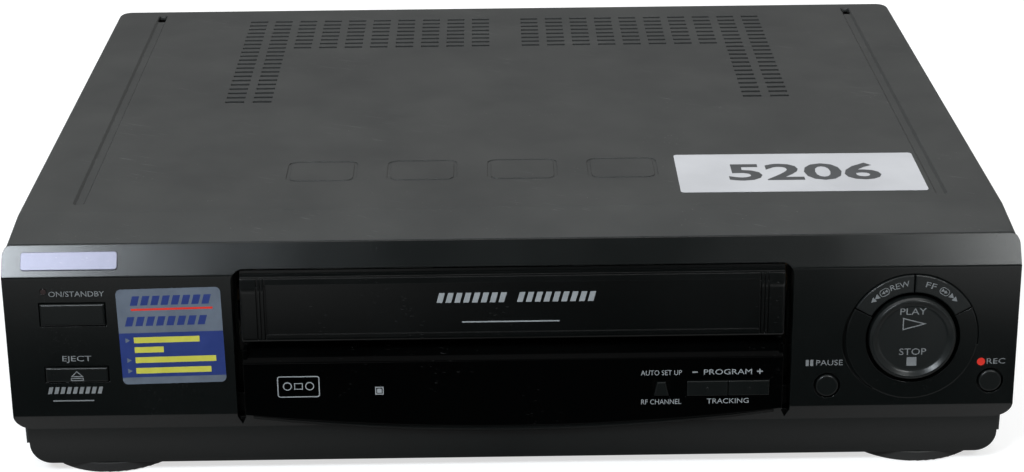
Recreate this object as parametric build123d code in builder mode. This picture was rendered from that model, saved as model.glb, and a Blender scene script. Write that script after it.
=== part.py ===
from build123d import *
import math
import os

os.makedirs("parts", exist_ok=True)

# A front-loading video cassette recorder. X runs along the front, +Y towards the rear, +Z up.
# The origin lies on the floor, under the middle of the recorder.

# Overall sizes
panel_width = 380.0
recorder_height = 94.7
body_depth = 294.9  # lower edge of the front face to the rear edge of the cover
front_y = -150.0  # lower edge of the front face
back_y = front_y + body_depth

# Clearances shared by everything that fits together
running_gap = 0.08  # radial, a shaft in its hole
pin_gap = 0.1  # radial, a hinge pin in its lug
seat_gap = 0.2  # between a piece and the seat it rests in
sheet_gap = 0.5  # between the steel cover and what it covers
switch_gap = 0.15  # left between a pressed button and its switch

# The cassette that everything in the bay is built around
cassette_width = 188.0
cassette_height = 25.0
reel_spacing = 94.0
door_to_reel = 68.0  # from the cassette's door edge to its reel centres

# Front panel section, from the side
panel_wall = 2.5
joint_y = front_y + 12.2  # where the panel meets the cover
panel_head_z = recorder_height - 2.9
face_foot_z = 26.0
face_head_z = recorder_height - 13.1
face_lean = 4.7  # the face's upper edge lies this far behind its lower edge
skirt_head_z = 19.2
skirt_foot_z = 4.3
skirt_y = front_y + 3.0
skirt_step = 4.4  # the skirt is this much narrower than the face, each side
bay_half = cassette_width / 2 + 11.0
bay_head_z = recorder_height - 11.3
bay_corner = 4.5
arc_mid_z = 20.2
arc_end_z = 25.8
groove_width = 3.2
flap_half = bay_half - groove_width

face_tilt = math.degrees(math.atan2(face_lean, face_head_z - face_foot_z))
tilt_cos = math.cos(math.radians(face_tilt))
tilt_sin = math.sin(math.radians(face_tilt))
face_plane = Plane(
    origin=(0, front_y, face_foot_z),
    x_dir=(1, 0, 0),
    z_dir=(0, -tilt_cos, tilt_sin),
)


def up(z):
    """Distance up the leaning face for a height above the floor."""
    return (z - face_foot_z) / tilt_cos


def face_y(z, proud=0.0):
    """Y of a plane that stands proud of the leaning face, at a height."""
    return front_y + (z - face_foot_z) * tilt_sin / tilt_cos - proud / tilt_cos


def block(x0, x1, y0, y1, z0, z1, mode=Mode.ADD):
    """A box between two corners."""
    with Locations(((x0 + x1) / 2, (y0 + y1) / 2, (z0 + z1) / 2)):
        Box(x1 - x0, y1 - y0, z1 - z0, mode=mode)


def post(x, y, z0, z1, radius, mode=Mode.ADD):
    """An upright cylinder."""
    with Locations((x, y, (z0 + z1) / 2)):
        Cylinder(radius, z1 - z0, mode=mode)


def bar_x(x0, x1, y, z, radius, mode=Mode.ADD):
    """A cylinder along X."""
    with Locations(Location(((x0 + x1) / 2, y, z), (0, 90, 0))):
        Cylinder(radius, x1 - x0, mode=mode)


def bar_y(x, y0, y1, z, radius, mode=Mode.ADD):
    """A cylinder along Y."""
    with Locations(Location((x, (y0 + y1) / 2, z), (90, 0, 0))):
        Cylinder(radius, y1 - y0, mode=mode)


def face_block(x0, x1, z0, z1, h0, h1, mode=Mode.ADD):
    """A box square to the leaning face, from height h0 to h1 in front of it."""
    with Locations(face_plane):
        with Locations(((x0 + x1) / 2, (up(z0) + up(z1)) / 2, (h0 + h1) / 2)):
            Box(x1 - x0, up(z1) - up(z0), h1 - h0, mode=mode)


def face_post(x, z, h0, h1, radius, mode=Mode.ADD):
    """A cylinder square to the leaning face."""
    with Locations(face_plane):
        with Locations((x, up(z), (h0 + h1) / 2)):
            Cylinder(radius, h1 - h0, mode=mode)


def face_sector(x, z, inner, outer, start, end, h0, h1, mode=Mode.ADD):
    """A ring segment square to the leaning face, angles in degrees from +X."""
    with BuildSketch(face_plane.offset(h0)) as sector:
        with BuildLine():
            rim = CenterArc((x, up(z)), outer, start, end - start)
            bore = CenterArc((x, up(z)), inner, start, end - start)
            Line(rim @ 0, bore @ 0)
            Line(rim @ 1, bore @ 1)
        make_face()
    extrude(to_extrude=sector.sketch, amount=h1 - h0, mode=mode)


# Front panel furniture: middles, measured from the panel's own edges
power_x = -panel_width / 2 + 25.5
power_z = 67.0
power_size = (25.0, 9.4)
eject_x = -panel_width / 2 + 25.5
eject_z = 43.1
eject_size = (24.2, 6.6)
lamp_x = -panel_width / 2 + 15.2
lamp_z = 76.1
lamp_radius = 1.1
ring_x = panel_width / 2 - 39.8
ring_z = 53.7
ring_outer = 24.8
ring_groove = 0.8
plateau_height = 0.25
plateau_edge = 0.15
crescent_width = 1.6  # widest part of the groove left of the ring
disc_hole = 17.5
hole_drop = 0.45  # the disc's hole sits this much lower than the disc
disc_radius = 16.3
pause_x = panel_width / 2 - 71.2
pause_z = 34.5
record_x = panel_width / 2 - 9.3
record_z = 35.7
round_hole = 5.1
round_cap = 4.3
setup_x = bay_half - 49.1
setup_size = (6.6, 6.4)
program_x = bay_half - 23.8
program_size = (15.6, 6.0)
small_keys_z = 34.4
cap_gap = 0.45
rewind_span = (90.0, 151.5)
forward_span = (28.5, 90.0)
split_gap = 0.3
split_turn = 0.7  # degrees of panel cut away beyond each end of the ring keys

# Depths behind the leaning face
board_depth = 13.0
board_thickness = 1.6
switch_height = 3.5
plunger_height = 1.3
button_travel = 0.8
flange_thickness = 1.0
stem_end = board_depth - switch_height - plunger_height - button_travel - switch_gap
rocker_pivot = 7.5
rocker_pin = 1.2
press_offset = 9.0  # play above and stop below the rocker's pivot


def ring_point(radius, angle):
    """A point of the face plane on a circle round the ring's middle."""
    turn = math.radians(angle)
    return (ring_x + radius * math.cos(turn), up(ring_z) + radius * math.sin(turn))


def panel_form(inset, reach):
    """The panel's outline, shrunk by inset and carried on behind the cover joint by reach."""
    back = joint_y + reach
    half = panel_width / 2
    outline = [
        (skirt_y, skirt_head_z),
        (front_y, face_foot_z),
        (front_y + face_lean, face_head_z),
        (joint_y, panel_head_z),
        (back, skirt_head_z),
    ]
    if reach > 0:
        outline.insert(4, (back, panel_head_z))
    with BuildPart() as form:
        with BuildSketch(Plane.YZ) as section:
            with BuildLine():
                Polyline(*outline, close=True)
            make_face()
            if inset > 0:
                offset(amount=-inset, kind=Kind.INTERSECTION)
            else:
                fillet(section.vertices().group_by(Axis.X)[0], 1.2)
                fillet(section.vertices().sort_by_distance((front_y + face_lean, face_head_z))[0], 1.5)
        extrude(amount=half, both=True)
        with BuildSketch(Plane.XZ) as upper:
            middle = (skirt_head_z + panel_head_z) / 2
            with Locations((0, middle)):
                Rectangle(2 * (half - inset), panel_head_z - skirt_head_z - 2 * inset)
            fillet(upper.vertices().group_by(Axis.Y)[-1], max(3.5 - inset, 1.0))
            fillet(upper.vertices().group_by(Axis.Y)[0], 6.5 - inset)
        extrude(amount=body_depth, both=True, mode=Mode.INTERSECT)
        with BuildSketch(Plane.XZ.offset(-skirt_y - inset)) as skirt:
            skirt_top = face_foot_z + 8.0
            with Locations((0, (skirt_foot_z + inset + skirt_top) / 2)):
                Rectangle(2 * (half - skirt_step - inset), skirt_top - skirt_foot_z - inset)
            fillet(skirt.vertices().group_by(Axis.Y)[0], 8.0 - inset)
        extrude(amount=skirt_y + inset - back)
    return form.part


def bay_shape(clear, foot):
    """The bay's outline seen from the front; clear shrinks it, foot closes it below the arc."""
    half = bay_half - clear
    with BuildSketch(Plane.XZ) as shape:
        with BuildLine():
            arc = ThreePointArc((-half, arc_end_z + foot), (0, arc_mid_z + foot), (half, arc_end_z + foot))
            Line(arc @ 1, (half, bay_head_z - clear))
            Line((half, bay_head_z - clear), (-half, bay_head_z - clear))
            Line((-half, bay_head_z - clear), arc @ 0)
        make_face()
        fillet(shape.vertices().group_by(Axis.Y)[-1], bay_corner)
    return shape.sketch


# Cassette flap: hinge at the top, behind the bevel, swinging inwards
flap_foot_z = face_foot_z + 29.2
flap_head_z = bay_head_z - 2.45
flap_front_z = flap_head_z - 0.75  # foot of the small step along the head
flap_break_z = flap_front_z - 4.0  # the front leans back above this
flap_screen_z = bay_head_z - 0.8  # a thin upstand behind the head closes the view in
flap_screen_foot_z = flap_break_z + 2.0
flap_screen = 0.8
flap_proud = 2.0
flap_thickness = 4.0
bevel_slope = (joint_y - front_y - face_lean) / (panel_head_z - face_head_z)
bevel_cos = math.cos(math.atan(bevel_slope))
hinge_z = bay_head_z + 2.6
hinge_wall = 1.0  # bevel wall left in front of the hinge ears
ear_radius = 1.9
hinge_pin = 1.2
hinge_y = (
    front_y
    + face_lean
    + (hinge_z - face_head_z) * bevel_slope
    + (hinge_wall + 0.4 + ear_radius) / bevel_cos
)
ear_inner = bay_half - 8.0
ear_thickness = 2.5
lug_inner = ear_inner + ear_thickness + 0.8
lug_outer = bay_half

# Front panel: moulded shell, open at the back
bridge_half = 22.5
bridge_depth = 10.0
bridge_thickness = 2.5
board_bosses = [
    (-panel_width / 2 + 10.0, 56.0),
    (-bay_half - 6.0, 34.0),
    (bay_half + 6.0, 70.0),
    (panel_width / 2 - 8.0, 80.0),
]

with BuildPart() as panel_space:
    add(panel_form(panel_wall, 6.0))
    for side in (-1, 1):
        liner_inner = side * bay_half
        liner_outer = side * (bay_half + 1.5)
        block(
            min(liner_inner, liner_outer),
            max(liner_inner, liner_outer),
            front_y,
            joint_y,
            face_foot_z + 2,
            panel_head_z,
            mode=Mode.SUBTRACT,
        )
        lug_low = min(side * lug_inner, side * lug_outer)
        lug_high = max(side * lug_inner, side * lug_outer)
        block(lug_low, lug_high, front_y, hinge_y + 3.0, hinge_z - 2.8, panel_head_z, mode=Mode.SUBTRACT)
        pocket_low = min(side * (ear_inner - 4.6), side * (lug_inner - 0.2))
        pocket_high = max(side * (ear_inner - 4.6), side * (lug_inner - 0.2))
        bar_x(pocket_low, pocket_high, hinge_y, hinge_z, ear_radius + 0.4)
        bar_x(lug_low - 0.5, lug_high + 0.5, hinge_y, hinge_z, hinge_pin + pin_gap)

with BuildPart() as lip:
    with BuildSketch(face_plane):
        with BuildLine():
            top_arc = ThreePointArc(
                (-bay_half + 6, up(arc_end_z) - 0.2),
                (0, up(arc_mid_z) + 0.4),
                (bay_half - 6, up(arc_end_z) - 0.2),
            )
            low_arc = ThreePointArc(
                (-bay_half + 6, up(arc_end_z) - 2.4),
                (0, up(arc_mid_z) - 3.2),
                (bay_half - 6, up(arc_end_z) - 2.4),
            )
            Line(top_arc @ 0, low_arc @ 0)
            Line(top_arc @ 1, low_arc @ 1)
        make_face()
    extrude(amount=-4.5)
    chamfer(lip.edges().filter_by(GeomType.CIRCLE).sort_by(Axis.Z)[:2].sort_by(Axis.Y)[0], 1.4)

with BuildPart() as front_panel:
    add(panel_form(0, 0))
    add(panel_space.part, mode=Mode.SUBTRACT)
    add(lip.part)
    extrude(to_extrude=bay_shape(0, 0), amount=body_depth, both=True, mode=Mode.SUBTRACT)
    with BuildSketch(face_plane) as groove_ends:
        for side in (-1, 1):
            with BuildLine():
                Polyline(
                    (side * (bay_half - groove_width), up(28)),
                    (side * bay_half, up(28)),
                    (side * bay_half, up(24.4)),
                    (side * (bay_half - 1.6), up(20.8)),
                    (side * (bay_half - groove_width), up(24.4)),
                    close=True,
                )
            make_face()
    extrude(amount=-4.2, mode=Mode.SUBTRACT)
    # shields that close the view past the lower ends of the bay's side grooves
    for side in (-1, 1):
        shield_low = min(side * (bay_half - 2.9), side * (bay_half + 1.5))
        shield_high = max(side * (bay_half - 2.9), side * (bay_half + 1.5))
        face_block(shield_low, shield_high, 15.0, 32.0, -8.0, -6.8)
    for x, z, size in ((power_x, power_z, power_size), (eject_x, eject_z, eject_size)):
        face_block(x - size[0] / 2, x + size[0] / 2, z - size[1] / 2, z + size[1] / 2, -6, 2, Mode.SUBTRACT)
    for x, z in ((pause_x, pause_z), (record_x, record_z)):
        face_post(x, z, -6, 2, round_hole, Mode.SUBTRACT)
    face_post(lamp_x, lamp_z, -6, 2, lamp_radius + 0.1, Mode.SUBTRACT)
    with BuildSketch(face_plane.offset(-panel_wall)) as ring_plateau:
        with Locations((ring_x, up(ring_z))):
            Circle(ring_outer)
    extrude(amount=panel_wall + plateau_height)
    plateau_rim = front_panel.edges(Select.LAST).filter_by(GeomType.CIRCLE).sort_by(Axis.Y)[0]
    chamfer(plateau_rim, plateau_edge)
    with BuildSketch(face_plane.offset(-1.5)) as crescent:
        with BuildLine():
            crescent_in = CenterArc((ring_x, up(ring_z)), ring_outer, rewind_span[1], 84.5)
            crescent_out = ThreePointArc(
                ring_point(ring_outer + 0.4, rewind_span[1]),
                ring_point(ring_outer + crescent_width, 195),
                ring_point(ring_outer + 0.3, rewind_span[1] + 84.5),
            )
            Line(crescent_in @ 0, crescent_out @ 0)
            Line(crescent_in @ 1, crescent_out @ 1)
        make_face()
    extrude(amount=3.5, mode=Mode.SUBTRACT)
    face_sector(
        ring_x, ring_z, ring_outer, ring_outer + ring_groove / 2, -8, forward_span[0], -1.5, 2, Mode.SUBTRACT
    )
    face_sector(
        ring_x,
        ring_z,
        disc_hole - 0.5,
        ring_outer + ring_groove / 2,
        forward_span[0] - split_turn,
        rewind_span[1] + split_turn,
        -6,
        2,
        Mode.SUBTRACT,
    )
    face_post(ring_x + 0.35, ring_z - hole_drop, -6, 2, disc_hole + 0.35, Mode.SUBTRACT)
    # Bridge behind the play and stop disc, with the two ears that carry its pivot
    for side in (-1, 1):
        post_low = min(side * (bridge_half - 3), side * bridge_half)
        face_block(
            ring_x + post_low,
            ring_x + post_low + 3,
            ring_z - 2.5,
            ring_z + 2.5,
            -bridge_depth - bridge_thickness,
            -panel_wall + 0.2,
        )
    face_block(
        ring_x - bridge_half,
        ring_x + bridge_half,
        ring_z - 2.5,
        ring_z + 2.5,
        -bridge_depth - bridge_thickness,
        -bridge_depth,
    )
    for side in (-1, 1):
        ear_low = min(side * 3.6, side * 5.2)
        face_block(
            ring_x + ear_low,
            ring_x + ear_low + 1.6,
            ring_z - 2.5,
            ring_z + 2.5,
            -bridge_depth - 0.1,
            -rocker_pivot + 2.4,
        )
    with Locations(face_plane):
        with Locations(Location((ring_x, up(ring_z), -rocker_pivot), (0, 90, 0))):
            Cylinder(rocker_pin + pin_gap, 14, mode=Mode.SUBTRACT)
    # Bosses that the front board is screwed to
    for x, z in board_bosses:
        face_post(x, z, -board_depth, -panel_wall + 0.2, 3.0)
front_panel.part.label = "front_panel"
export_step(front_panel.part, "parts/front_panel.step")

# Cassette flap, with its hinge ears and pins
flute_x = flap_half - 7.8
flute_pitch = 1.4
lip_height = 3.4
with BuildPart() as cassette_flap:
    with BuildSketch(Plane.YZ) as flap_section:
        with BuildLine():
            Polyline(
                (face_y(flap_foot_z, flap_proud), flap_foot_z),
                (face_y(flap_break_z, flap_proud), flap_break_z),
                (face_y(flap_head_z, flap_proud - 1.4), flap_head_z),
                (face_y(flap_head_z, flap_proud - flap_thickness), flap_head_z),
                (face_y(flap_screen_z, flap_proud - flap_thickness), flap_screen_z),
                (face_y(flap_screen_z, flap_proud - flap_thickness - flap_screen), flap_screen_z),
                (face_y(flap_screen_foot_z, flap_proud - flap_thickness - flap_screen), flap_screen_foot_z),
                (face_y(flap_screen_foot_z, flap_proud - flap_thickness), flap_screen_foot_z),
                (face_y(flap_foot_z, flap_proud - flap_thickness), flap_foot_z),
                close=True,
            )
        make_face()
        flap_break = (face_y(flap_break_z, flap_proud), flap_break_z)
        fillet(flap_section.vertices().sort_by_distance(flap_break)[0], 8.0)
        fillet(flap_section.vertices().sort_by(Axis.Y)[:2].sort_by(Axis.X)[0], 2.0)
    extrude(amount=flap_half, both=True)
    fillet(cassette_flap.edges().filter_by(Axis.Z, tolerance=10).group_by(Axis.Y)[0], 1.0)
    # recessed middle, between the flutes and above the lower lip
    face_block(
        -flute_x + 1.9,
        flute_x - 1.9,
        flap_foot_z + lip_height,
        flap_head_z,
        flap_proud - 0.6,
        flap_proud + 1,
        Mode.SUBTRACT,
    )
    # small step along the head
    face_block(
        -flap_half, flap_half, flap_front_z, flap_head_z + 1, flap_proud - 1.6, flap_proud + 1, Mode.SUBTRACT
    )
    for side in (-1, 1):
        for step in (-flute_pitch, 0.0, flute_pitch):
            for low, depth in ((flap_foot_z + 1.6, 0.9), (flap_break_z + 1.0, 1.6)):
                face_block(
                    side * flute_x + step - 0.3,
                    side * flute_x + step + 0.3,
                    low,
                    flap_front_z + 0.5,
                    flap_proud - depth,
                    flap_proud + 1,
                    Mode.SUBTRACT,
                )
    for side in (-1, 1):
        ear_low = min(side * ear_inner, side * (ear_inner + ear_thickness))
        with BuildSketch(Plane.YZ.offset(ear_low)) as ear:
            with Locations((hinge_y, hinge_z)):
                Circle(ear_radius)
            with BuildLine():
                Polyline(
                    (hinge_y - ear_radius * 0.8, hinge_z - ear_radius * 0.6),
                    (hinge_y + ear_radius, hinge_z),
                    (hinge_y + ear_radius, hinge_z - 4.0),
                    (face_y(flap_head_z - 6, flap_proud - flap_thickness) - 0.3, flap_head_z - 7),
                    (face_y(flap_head_z + 1, flap_proud - flap_thickness) - 0.3, flap_head_z - 1.5),
                    close=True,
                )
            make_face()
        extrude(amount=ear_thickness)
        pin_low = min(side * (ear_inner - 4.2), side * (lug_outer - 0.3))
        pin_high = max(side * (ear_inner - 4.2), side * (lug_outer - 0.3))
        bar_x(pin_low, pin_high, hinge_y, hinge_z, hinge_pin)
cassette_flap.part.label = "cassette_flap"
export_step(cassette_flap.part, "parts/cassette_flap.step")

# Torsion spring beside the left hinge ear, round the hinge pin
spring_wire = 0.3
spring_radius = 1.9
spring_x = -ear_inner + 0.6
with BuildPart() as flap_spring:
    for turn in range(5):
        with Locations(Location((spring_x + turn * 2 * spring_wire, hinge_y, hinge_z), (0, 90, 0))):
            Torus(spring_radius, spring_wire + 0.03)
    bar_x(spring_x - 0.2, spring_x + 2.6, hinge_y, hinge_z + spring_radius, spring_wire)
flap_spring.part.label = "flap_spring"
export_step(flap_spring.part, "parts/flap_spring.step")

# Gloss window under the flap, with the sloping ledge that the cassette slides in over
window_proud = 1.0
window_wall = 2.0
window_head_z = flap_foot_z - 8.2
ledge_z = flap_foot_z - 2.8
ledge_y = face_y(ledge_z) + 5.4
ledge_back = joint_y + 0.8
with BuildPart() as window_panel:
    with BuildSketch(Plane.YZ) as window_section:
        with BuildLine():
            Polyline(
                (face_y(arc_mid_z - 2, window_proud), arc_mid_z - 2),
                (face_y(window_head_z, window_proud), window_head_z),
                (ledge_y, ledge_z),
                (ledge_back, ledge_z),
                (ledge_back, ledge_z - window_wall),
                (ledge_y + 0.8, ledge_z - window_wall),
                (face_y(window_head_z, window_proud - window_wall), window_head_z - 0.8),
                (face_y(arc_mid_z - 2, window_proud - window_wall), arc_mid_z - 2),
                close=True,
            )
        make_face()
        crest = (face_y(window_head_z, window_proud), window_head_z)
        fillet(window_section.vertices().sort_by_distance(crest)[0], 0.8)
    extrude(amount=flap_half, both=True)
    for side in (-1, 1):
        cheek_low = min(side * (flap_half - 1.5), side * flap_half)
        face_block(cheek_low, cheek_low + 1.5, arc_mid_z, window_head_z, -9, 0.2)
        cheek_y = face_y(window_head_z) + 0.2
        block(cheek_low, cheek_low + 1.5, cheek_y, ledge_back, window_head_z - 3, ledge_z - 0.5)
    extrude(to_extrude=bay_shape(groove_width, seat_gap), amount=body_depth, both=True, mode=Mode.INTERSECT)
    # fixing ears that hook down behind the bay's lower wall
    ear_y = skirt_y + panel_wall + seat_gap
    ear_head_z = arc_end_z + 1.2
    for x in (-70.0, 0.0, 70.0):
        block(x - 4, x + 4, ear_y, ear_y + 3, arc_mid_z - 6, ear_head_z)
        block(x - 4, x + 4, face_y(ear_head_z) + 0.5, ear_y + 3, ear_head_z - 2, ear_head_z)
    setup_low = small_keys_z - setup_size[1] / 2
    face_block(
        setup_x - setup_size[0] / 2,
        setup_x + setup_size[0] / 2,
        setup_low,
        setup_low + setup_size[1],
        -6,
        2,
        Mode.SUBTRACT,
    )
    face_block(
        program_x - program_size[0] - cap_gap,
        program_x + program_size[0] + cap_gap,
        small_keys_z - program_size[1] / 2 - cap_gap,
        small_keys_z + program_size[1] / 2 + cap_gap,
        -6,
        2,
        Mode.SUBTRACT,
    )
window_panel.part.label = "window_panel"
export_step(window_panel.part, "parts/window_panel.step")


def key_tail(x, z, size, wall_inner):
    """The flange behind the wall and the stem that reaches the switch."""
    face_block(
        x - size[0] / 2 - 1.0,
        x + size[0] / 2 + 1.0,
        z - size[1] / 2 - 1.0,
        z + size[1] / 2 + 1.0,
        -wall_inner - seat_gap - flange_thickness,
        -wall_inner - seat_gap,
    )
    face_post(x, z, -stem_end, -wall_inner - seat_gap - flange_thickness, 1.6)


def cap_edges(part):
    """The edges round the front of a cap."""
    return part.faces().sort_by(Axis.Y)[0].edges()


# Standby button, with its soft rim
with BuildPart() as power_button:
    half_w = power_size[0] / 2 - cap_gap
    half_h = power_size[1] / 2 - cap_gap
    face_block(power_x - half_w, power_x + half_w, power_z - half_h, power_z + half_h, -3.2, 0.9)
    fillet(cap_edges(power_button), 0.8)
    key_tail(power_x, power_z, power_size, panel_wall)
power_button.part.label = "power_button"
export_step(power_button.part, "parts/power_button.step")

# Eject button
with BuildPart() as eject_button:
    half_w = eject_size[0] / 2 - cap_gap
    half_h = eject_size[1] / 2 - cap_gap
    face_block(eject_x - half_w, eject_x + half_w, eject_z - half_h, eject_z + half_h, -3.2, 0.9)
    fillet(cap_edges(eject_button), 0.7)
    key_tail(eject_x, eject_z, eject_size, panel_wall)
eject_button.part.label = "eject_button"
export_step(eject_button.part, "parts/eject_button.step")

# Round pause and record buttons
for label, x, z in (("pause_button", pause_x, pause_z), ("record_button", record_x, record_z)):
    with BuildPart() as round_button:
        face_post(x, z, -3.2, 0.7, round_cap)
        fillet(round_button.edges().filter_by(GeomType.CIRCLE).sort_by(Axis.Y)[0], 0.8)
        face_post(x, z, -panel_wall - seat_gap - flange_thickness, -panel_wall - seat_gap, round_hole + 0.8)
        face_post(x, z, -stem_end, -panel_wall - seat_gap - flange_thickness, 1.6)
    round_button.part.label = label
    export_step(round_button.part, f"parts/{label}.step")

# Rewind and fast-forward keys, segments of the ring
ring_stem = 21.4
for label, span in (("rewind_button", rewind_span), ("fast_forward_button", forward_span)):
    turn = math.degrees(split_gap / ring_outer)
    start = span[0] + turn
    end = span[1] - turn
    middle = math.radians((span[0] + span[1]) / 2)
    stem_x = ring_x + ring_stem * math.cos(middle)
    stem_z = ring_z + ring_stem * math.sin(middle) * tilt_cos
    with BuildPart() as ring_key:
        face_sector(ring_x, ring_z, disc_hole + 0.4, ring_outer, start, end, -3.2, 0.9)
        face_sector(
            ring_x,
            ring_z,
            disc_hole + 0.4,
            ring_outer + ring_groove + 1.2,
            start,
            end,
            -panel_wall - seat_gap - flange_thickness,
            -panel_wall - seat_gap,
        )
        face_post(stem_x, stem_z, -stem_end, -panel_wall - seat_gap - flange_thickness, 1.6)
        fillet(cap_edges(ring_key), 0.45)
    ring_key.part.label = label
    export_step(ring_key.part, f"parts/{label}.step")

# Play and stop rocker: a dished disc that tips about a pin behind it
disc_rim = 2.95
disc_dish = 1.5
disc_thickness = 3.4
with BuildPart() as play_stop_rocker:
    with BuildSketch(Plane.XZ) as disc_section:
        with BuildLine():
            Polyline(
                (0, disc_dish),
                (disc_radius - 3.1, disc_dish),
                (disc_radius - 1.5, disc_rim),
                (disc_radius - 0.8, disc_rim),
                (disc_radius, disc_rim - 1.0),
                (disc_radius, disc_dish - disc_thickness),
                (0, disc_dish - disc_thickness),
                close=True,
            )
        make_face()
        fillet(disc_section.vertices().sort_by_distance((disc_radius - 3.1, disc_dish))[0], 1.6)
        fillet(disc_section.vertices().sort_by_distance((disc_radius - 0.8, disc_rim))[0], 0.5)
    disc = revolve(axis=Axis.Z, mode=Mode.PRIVATE)
    with Locations(face_plane):
        with Locations((ring_x, up(ring_z), 0)):
            add(disc)
    face_block(
        ring_x - 3.2,
        ring_x + 3.2,
        ring_z - 2.0,
        ring_z + 2.0,
        -rocker_pivot - 1.8,
        disc_dish - disc_thickness + 0.2,
    )
    with Locations(face_plane):
        with Locations(Location((ring_x, up(ring_z), -rocker_pivot), (0, 90, 0))):
            Cylinder(rocker_pin, 10.2)
    for side in (-1, 1):
        face_post(
            ring_x, ring_z + side * press_offset, -stem_end, disc_dish - disc_thickness + 0.2, 1.6
        )
play_stop_rocker.part.label = "play_stop_rocker"
export_step(play_stop_rocker.part, "parts/play_stop_rocker.step")

# Set-up key: narrower at its top
with BuildPart() as setup_button:
    with BuildSketch(face_plane.offset(-1.4)) as setup_cap:
        with Locations((setup_x, up(small_keys_z))):
            Trapezoid(setup_size[0] - 2 * cap_gap, setup_size[1] - 2 * cap_gap, 77)
    extrude(amount=2.8)
    fillet(cap_edges(setup_button), 0.4)
    key_tail(setup_x, small_keys_z, (setup_size[0] - 1.0, setup_size[1] - 0.6), window_wall - window_proud)
setup_button.part.label = "setup_button"
export_step(setup_button.part, "parts/setup_button.step")

# Programme keys, side by side
for label, side in (("program_down_button", -1), ("program_up_button", 1)):
    key_low = min(side * split_gap / 2, side * program_size[0])
    key_high = max(side * split_gap / 2, side * program_size[0])
    key_x = program_x + (key_low + key_high) / 2
    with BuildPart() as program_key:
        half_h = program_size[1] / 2
        face_block(
            program_x + key_low, program_x + key_high, small_keys_z - half_h, small_keys_z + half_h, -1.4, 1.4
        )
        fillet(cap_edges(program_key), 0.4)
        face_post(key_x, small_keys_z, 1.3, 1.55, 0.5)
        key_tail(key_x, small_keys_z, (program_size[0] - 3.0, program_size[1]), window_wall - window_proud)
    program_key.part.label = label
    export_step(program_key.part, f"parts/{label}.step")

# Standby lamp: a small light-emitting diode that shines through the panel
with BuildPart() as power_lamp:
    face_post(lamp_x, lamp_z, -board_depth, 0.1, lamp_radius)
    face_post(lamp_x, lamp_z, -board_depth, -board_depth + 6, 1.9)
power_lamp.part.label = "power_lamp"
export_step(power_lamp.part, "parts/power_lamp.step")

# Blank name badge on the bevel
badge_width = 36.0
badge_height = 7.0
badge_thickness = 0.6
bevel_tilt = math.degrees(math.atan(bevel_slope))
bevel_plane = Plane(
    origin=(-panel_width / 2 + 25.0, front_y + face_lean + 5.0 * bevel_slope, face_head_z + 5.0),
    x_dir=(1, 0, 0),
    z_dir=(0, -bevel_cos, math.sin(math.radians(bevel_tilt))),
)
with BuildPart() as name_badge:
    with BuildSketch(bevel_plane):
        RectangleRounded(badge_width, badge_height, 1.2)
    extrude(amount=badge_thickness)
    fillet(name_badge.faces().sort_by(Axis.Y)[0].edges(), 0.25)
name_badge.part.label = "name_badge"
export_step(name_badge.part, "parts/name_badge.step")

# Square feature label stuck on the face, slightly askew
feature_x = -bay_half - 23.2
feature_z = 58.0
with BuildPart() as feature_label:
    with BuildSketch(face_plane):
        with Locations(Location((feature_x, up(feature_z), 0), (0, 0, 1.0))):
            RectangleRounded(39.0, 38.0, 2.0)
    extrude(amount=0.12)
feature_label.part.label = "feature_label"
export_step(feature_label.part, "parts/feature_label.step")

# Remote-control sensor and display tube behind the window
with BuildPart() as remote_sensor:
    face_block(-54, -44, 30, 41, -board_depth, -6.0)
    face_post(-49, 36.5, -6.2, -4.0, 2.4)
remote_sensor.part.label = "remote_sensor"
export_step(remote_sensor.part, "parts/remote_sensor.step")

tube_width = 76.0
tube_right = setup_x - 13.9
tube_left = tube_right - tube_width

with BuildPart() as display_tube:
    face_block(tube_left, tube_right, 28, 45, -board_depth + 1.2, -5.6)
    fillet(display_tube.edges().filter_by(Axis.X), 0.8)
    for leg in range(16):
        leg_x = tube_left + 4 + leg * 4.5
        face_block(leg_x - 0.3, leg_x + 0.3, 29, 30, -board_depth, -board_depth + 1.4)
display_tube.part.label = "display_tube"
export_step(display_tube.part, "parts/display_tube.step")

# Front board, parallel to the face, cut away round the cassette bay
with BuildPart() as front_board:
    face_block(
        -panel_width / 2 + 6,
        panel_width / 2 - 6,
        face_foot_z + 1.5,
        84.0,
        -board_depth - board_thickness,
        -board_depth,
    )
    face_block(
        -bay_half + 0.5, bay_half - 0.5, ledge_z - 6, 90, -board_depth - 3, -board_depth + 1, Mode.SUBTRACT
    )
front_board.part.label = "front_board"
export_step(front_board.part, "parts/front_board.step")

# Push switches on the front board, one behind each stem
switch_places = [
    (power_x, power_z),
    (eject_x, eject_z),
    (pause_x, pause_z),
    (record_x, record_z),
    (setup_x, small_keys_z),
    (program_x - (program_size[0] + split_gap / 2) / 2, small_keys_z),
    (program_x + (program_size[0] + split_gap / 2) / 2, small_keys_z),
    (ring_x, ring_z + press_offset),
    (ring_x, ring_z - press_offset),
]
for span in (rewind_span, forward_span):
    middle = math.radians((span[0] + span[1]) / 2)
    stem_x = ring_x + ring_stem * math.cos(middle)
    switch_places.append((stem_x, ring_z + ring_stem * math.sin(middle) * tilt_cos))
with BuildPart() as push_switches:
    for x, z in switch_places:
        half = 2.6
        face_block(x - half, x + half, z - half, z + half, -board_depth, -board_depth + switch_height)
        face_post(
            x, z, -board_depth + switch_height, -board_depth + switch_height + plunger_height, 1.4
        )
push_switches.part.label = "push_switches"
export_step(push_switches.part, "parts/push_switches.step")

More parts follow.
